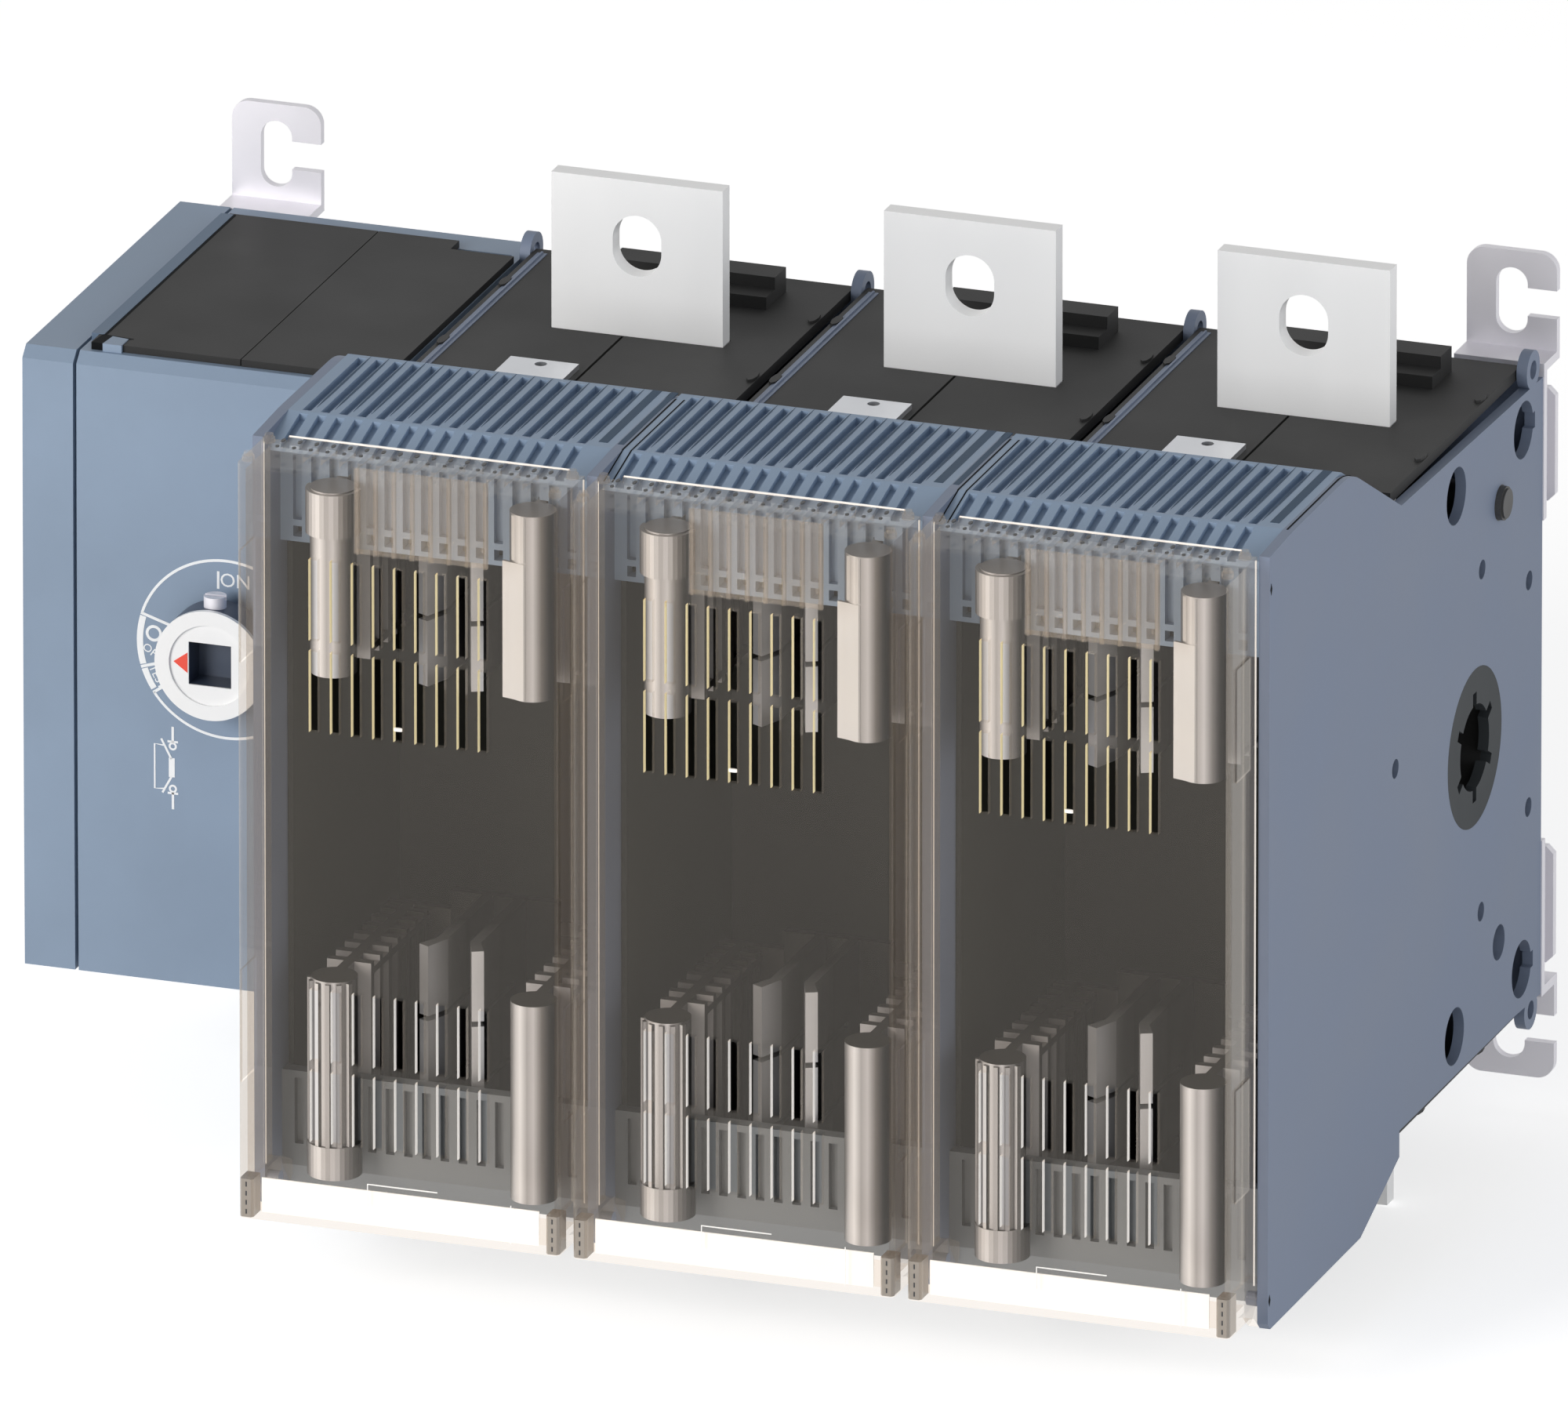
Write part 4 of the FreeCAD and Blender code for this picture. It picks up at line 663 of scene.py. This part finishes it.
def letters(shape, words, high, x, z, turn=0.0):
    """Adds printed words, centred on a point of the drive's front."""
    curve = bpy.data.curves.new(words, "FONT")
    curve.body, curve.align_x, curve.align_y = words, "CENTER", "CENTER"
    curve.size, curve.extrude, curve.resolution_u = high / 0.7, 0.5, 3
    carrier = bpy.data.objects.new(words, curve)
    scene.collection.objects.link(carrier)
    bpy.context.view_layer.update()
    mesh = bpy.data.meshes.new_from_object(carrier)
    bpy.data.objects.remove(carrier)
    cos, sin = math.cos(math.radians(turn)), math.sin(math.radians(turn))
    for vertex in mesh.vertices:
        across, up, out = vertex.co
        px, pz = x + across * cos - up * sin, z + across * sin + up * cos
        lift = PRINT_LIFT if out > 0 else -PRINT_SINK
        vertex.co = at(px, face_back(px, pz) - lift, pz)
    shape.from_mesh(mesh)


shape = bmesh.new()
stroke(shape, arc(HUB_X, HUB_LEVEL, RING, 215.0, 522.0, 96), 0.75)
for start, end in ((164.0, 196.0), (199.0, 213.0)):
    stroke(shape, arc(HUB_X, HUB_LEVEL, RING - 0.6, start, end, 12), 1.8)
for turn in (162.5, 197.5, 215.0):
    cos, sin = math.cos(math.radians(turn)), math.sin(math.radians(turn))
    stroke(shape, [(HUB_X + r * cos, HUB_LEVEL + r * sin) for r in (15.9, RING + 0.3)], 0.8)
stroke(shape, arc(HUB_X - 20.8, HUB_LEVEL + 2.2, 1.95, 0.0, 345.0, 23), 0.8, closed=True)
stroke(shape, [(HUB_X - 2.3, HUB_LEVEL + z) for z in (17.2, 22.2)], 0.7)
letters(shape, "ON", 3.9, HUB_X + 2.6, HUB_LEVEL + 19.7)
letters(shape, "OFF", 2.3, HUB_X - 21.4, HUB_LEVEL - 3.2, -35.0)
letters(shape, "TEST", 2.3, HUB_X - 19.9, HUB_LEVEL - 10.2, -62.0)
SYMBOL_X = -61.1
for low, high in ((-17.0, -12.6), (-36.3, -31.6)):
    stroke(shape, [(SYMBOL_X, low), (SYMBOL_X, high)], 0.7)
for level, bar in ((-18.2, -16.9), (-30.4, -31.7)):
    stroke(shape, arc(SYMBOL_X, level, 0.9, 0.0, 345.0, 15), 0.55, closed=True)
    stroke(shape, [(SYMBOL_X - 1.5, bar), (SYMBOL_X + 1.5, bar)], 0.6)
stroke(shape, [(SYMBOL_X - 3.3, -16.3), (SYMBOL_X - 0.4, -21.9)], 0.6)
stroke(shape, [(SYMBOL_X - 0.4, -27.0), (SYMBOL_X - 3.0, -31.8)], 0.6)
stroke(shape, [(SYMBOL_X - 0.3, -21.6), (SYMBOL_X - 0.3, -27.1)], 1.7)
stroke(shape, [(SYMBOL_X - 2.2, -18.2), (SYMBOL_X - 5.2, -18.0), (SYMBOL_X - 5.2, -30.8),
               (SYMBOL_X - 2.4, -30.6)], 0.45)
solid("dial_print", shape, white_ink, "housing")


# ---- Mounting feet ----
# Folded zinc-plated sheet, hooked behind the drive and the side panel.
dress(zinc, "upper_left_foot", "lower_left_foot", "upper_right_foot", "lower_right_foot")
LUG_BACK, LUG_FRONT, LUG_CUT = 237.9, 235.4, 2.0
shape = bmesh.new()
for low, high in ((47.9, 80.2), (-84.8, -51.4)):
    edge = [(PANEL_RIGHT - 6.0, low), (PANEL_RIGHT - LUG_CUT, low), (PANEL_RIGHT, low + LUG_CUT),
            (PANEL_RIGHT, high - LUG_CUT), (PANEL_RIGHT - LUG_CUT, high), (PANEL_RIGHT - 6.0, high)]
    prism(shape, *[[(x, y, z) for x, z in edge] for y in (LUG_FRONT, LUG_BACK)])
solid("foot_lugs", shape, zinc, "housing")


# ---- Fuse covers ----
# Moulded in clear polycarbonate with a faint smoke tint. Flat on, they only veil
# what is behind them; their walls and edges turn milky brown and catch the light.


def clear_finish(name, least, most):
    """Clear where the eye looks straight through, and milky at a low angle."""
    material, tree = new_material(name)
    edge = add(tree, "ShaderNodeLayerWeight", Blend=0.35).outputs["Facing"]
    bend = add(tree, "ShaderNodeMath", {"operation": "POWER"}, i0=edge, i1=1.6)
    facing = add(tree, "ShaderNodeSeparateXYZ",
                 Vector=add(tree, "ShaderNodeTexCoord").outputs["Normal"]).outputs["Z"]
    level = add(tree, "ShaderNodeMath", {"operation": "ABSOLUTE"}, i0=facing)
    rise = add(tree, "ShaderNodeSeparateXYZ",
               Vector=add(tree, "ShaderNodeTexCoord").outputs["Object"]).outputs["Z"]
    flat = add(tree, "ShaderNodeMapRange", Value=rise, From_Min=-0.05, From_Max=0.05,
               To_Min=0.0, To_Max=most / 3.0)
    upper = add(tree, "ShaderNodeMapRange", Value=level.outputs[0], To_Min=most,
                To_Max=flat.outputs[0])
    veil = add(tree, "ShaderNodeMapRange", Value=bend.outputs[0], To_Min=least,
               To_Max=upper.outputs[0])
    through = add(tree, "ShaderNodeBsdfTransparent", Color=srgb("#FEFBF8"))
    haze = add(tree, "ShaderNodeBsdfDiffuse", Color=srgb("#C4BBB0"))
    shine = add(tree, "ShaderNodeBsdfGlossy", Color=srgb("#FBFAF6"), Roughness=0.08)
    skin = add(tree, "ShaderNodeMixShader", Fac=0.5, i1=haze.outputs[0], i2=shine.outputs[0])
    both = add(tree, "ShaderNodeMixShader", Fac=veil.outputs[0], i1=through.outputs[0],
               i2=skin.outputs[0])
    add(tree, "ShaderNodeOutputMaterial", Surface=both.outputs[0])
    return material


clear = clear_finish("clear polycarbonate with a faint smoke tint", 0.026, 0.7)
dress(clear, *each("fuse_cover_%d"))


# Painted highlights that glow a little stand for the light on the moulding's edges: thin bright
# lines along the slots, the lip and the rear edge, and a cream band at the foot; latch blocks sit in
# its corners.
edge_highlight_glow = plastic("glowing painted highlight on the clear moulding's edges", "#F6F4F0", 0.25, lift_mm=0.01,
                      Emission_Color=srgb("#FFFFFF"), Emission_Strength=0.18)
# The test slots' edges are pale yellow, with a little painted glow on top.
yellow_edge_glow = plastic("pale yellow edge of the test slots", "#EFE2B6", 0.25, lift_mm=0.01,
                      Emission_Color=srgb("#EFE2B6"), Emission_Strength=0.25)
smoked = plastic("smoky latch block", "#A39A90", 0.2, lift_mm=0.02)
# Dark strips in the vents and across the latch blocks are painted shade.
vent_shade = plastic("painted shade in the cover's vents", "#4A4B4C", 0.6, lift_mm=0.01)
milky = clear_finish("milky fluted lining of the cover", 0.12, 0.5)
SLOT_LEFT, SLOT_PITCH, SLOT_COUNT = 22.3, 6.0, 9
SLOT_ROWS = ((38.0, 61.0, True), (64.0, 87.0, True), (-55.75, -35.5, False),
             (-79.0, -58.75, False))
FRONT = -22.0
for pole in POLES:
    body, shift = "cover_%d" % pole, (pole - 1) * POLE_PITCH
    lit, gilt = bmesh.new(), bmesh.new()
    for low, high, warm in SLOT_ROWS:
        set_out(gilt if warm else lit, yellow_edge_glow if warm else edge_highlight_glow, SLOT_COUNT,
                (SLOT_LEFT + shift, FRONT + 1.0, (low + high) / 2.0), (SLOT_PITCH, 0.0, 0.0),
                (0.28, 1.9, high - low))
    for start, size in (
            ((49.1, -0.9, 113.4), (79.6, 0.5, 0.5)),     # rear edge of the lip
            ((92.9, -0.9, 8.0), (0.5, 0.5, 206.0)),      # rear edge of the right wall
            ((2.1, -0.9, 8.0), (0.3, 0.3, 206.0)),       # rear edge of the left wall
            ((48.6, FRONT, -89.0), (20.0, 0.3, 0.3)),    # outline of the lower field
            ((38.7, FRONT, -92.2), (0.3, 0.3, 6.2)),
            ((79.5, FRONT, -95.6), (0.3, 0.3, 11.0)),
            ((47.5, FRONT + 0.4, 41.6), (2.5, 0.8, 0.9))):  # bar in the middle slot
        set_out(lit, edge_highlight_glow, 1, (start[0] + shift, *start[1:]), (0.0, 0.0, 0.0), size)
    # This plate glows a little as painted light for the cream band at the foot.
    upright(lit, [(8.0 + shift, FRONT + 1.5), (87.0 + shift, FRONT + 1.5),
                  (87.0 + shift, FRONT + 1.9), (8.0 + shift, FRONT + 1.9)], -101.2, -91.4)
    solid("cover_%d_bright_edges" % pole, lit, edge_highlight_glow, body)
    solid("cover_%d_slot_edges" % pole, gilt, yellow_edge_glow, body)
    blocks = bmesh.new()
    marks = bmesh.new()
    for left, right in ((2.2, 6.0), (89.4, 93.1)):
        left, right = left + shift, right + shift
        upright(blocks, [(left, FRONT + 0.6), (left + 0.6, FRONT - 0.1), (right - 0.6, FRONT - 0.1),
                         (right, FRONT + 0.6), (right, FRONT + 6.0), (left, FRONT + 6.0)],
                -102.6, -91.8)
        set_out(marks, vent_shade, 4, ((left + right) / 2.0, FRONT + 3.0, -101.0),
                (0.0, 0.0, 2.6), (right - left - 1.6, 6.8, 1.3))
    solid("cover_%d_latch_blocks" % pole, blocks, smoked, body)
    for back, long in ((-4.6, 2.6), (-9.4, 1.6)):
        set_out(marks, vent_shade, 17, (9.0 + shift, back, 113.45), (4.75, 0.0, 0.0),
                (1.1, long, 0.3))
    solid("cover_%d_vents" % pole, marks, vent_shade, body)
    knobs = bmesh.new()
    for x, y in ((4.4, -3.2), (90.6, -3.2), (4.0, FRONT + 3.6), (91.0, FRONT + 3.6)):
        upright(knobs, arc(x + shift, y, 1.7, 0.0, 330.0, 11), 111.9, 113.4)
        upright(knobs, arc(x + shift, y, 1.2, 0.0, 330.0, 11), 113.4, 114.4)
    solid("cover_%d_knobs" % pole, knobs, clear, body)
    lining = bmesh.new()
    upright(lining, [(30.5 + shift, -9.0), (68.4 + shift, -9.0), (68.4 + shift, -8.0),
                     (30.5 + shift, -8.0)], 85.4, 109.5)
    set_out(lining, milky, 8, (31.6 + shift, -9.2, 97.4), (5.2, 0.0, 0.0), (1.4, 1.4, 24.0))
    solid("cover_%d_lining" % pole, lining, milky, body)
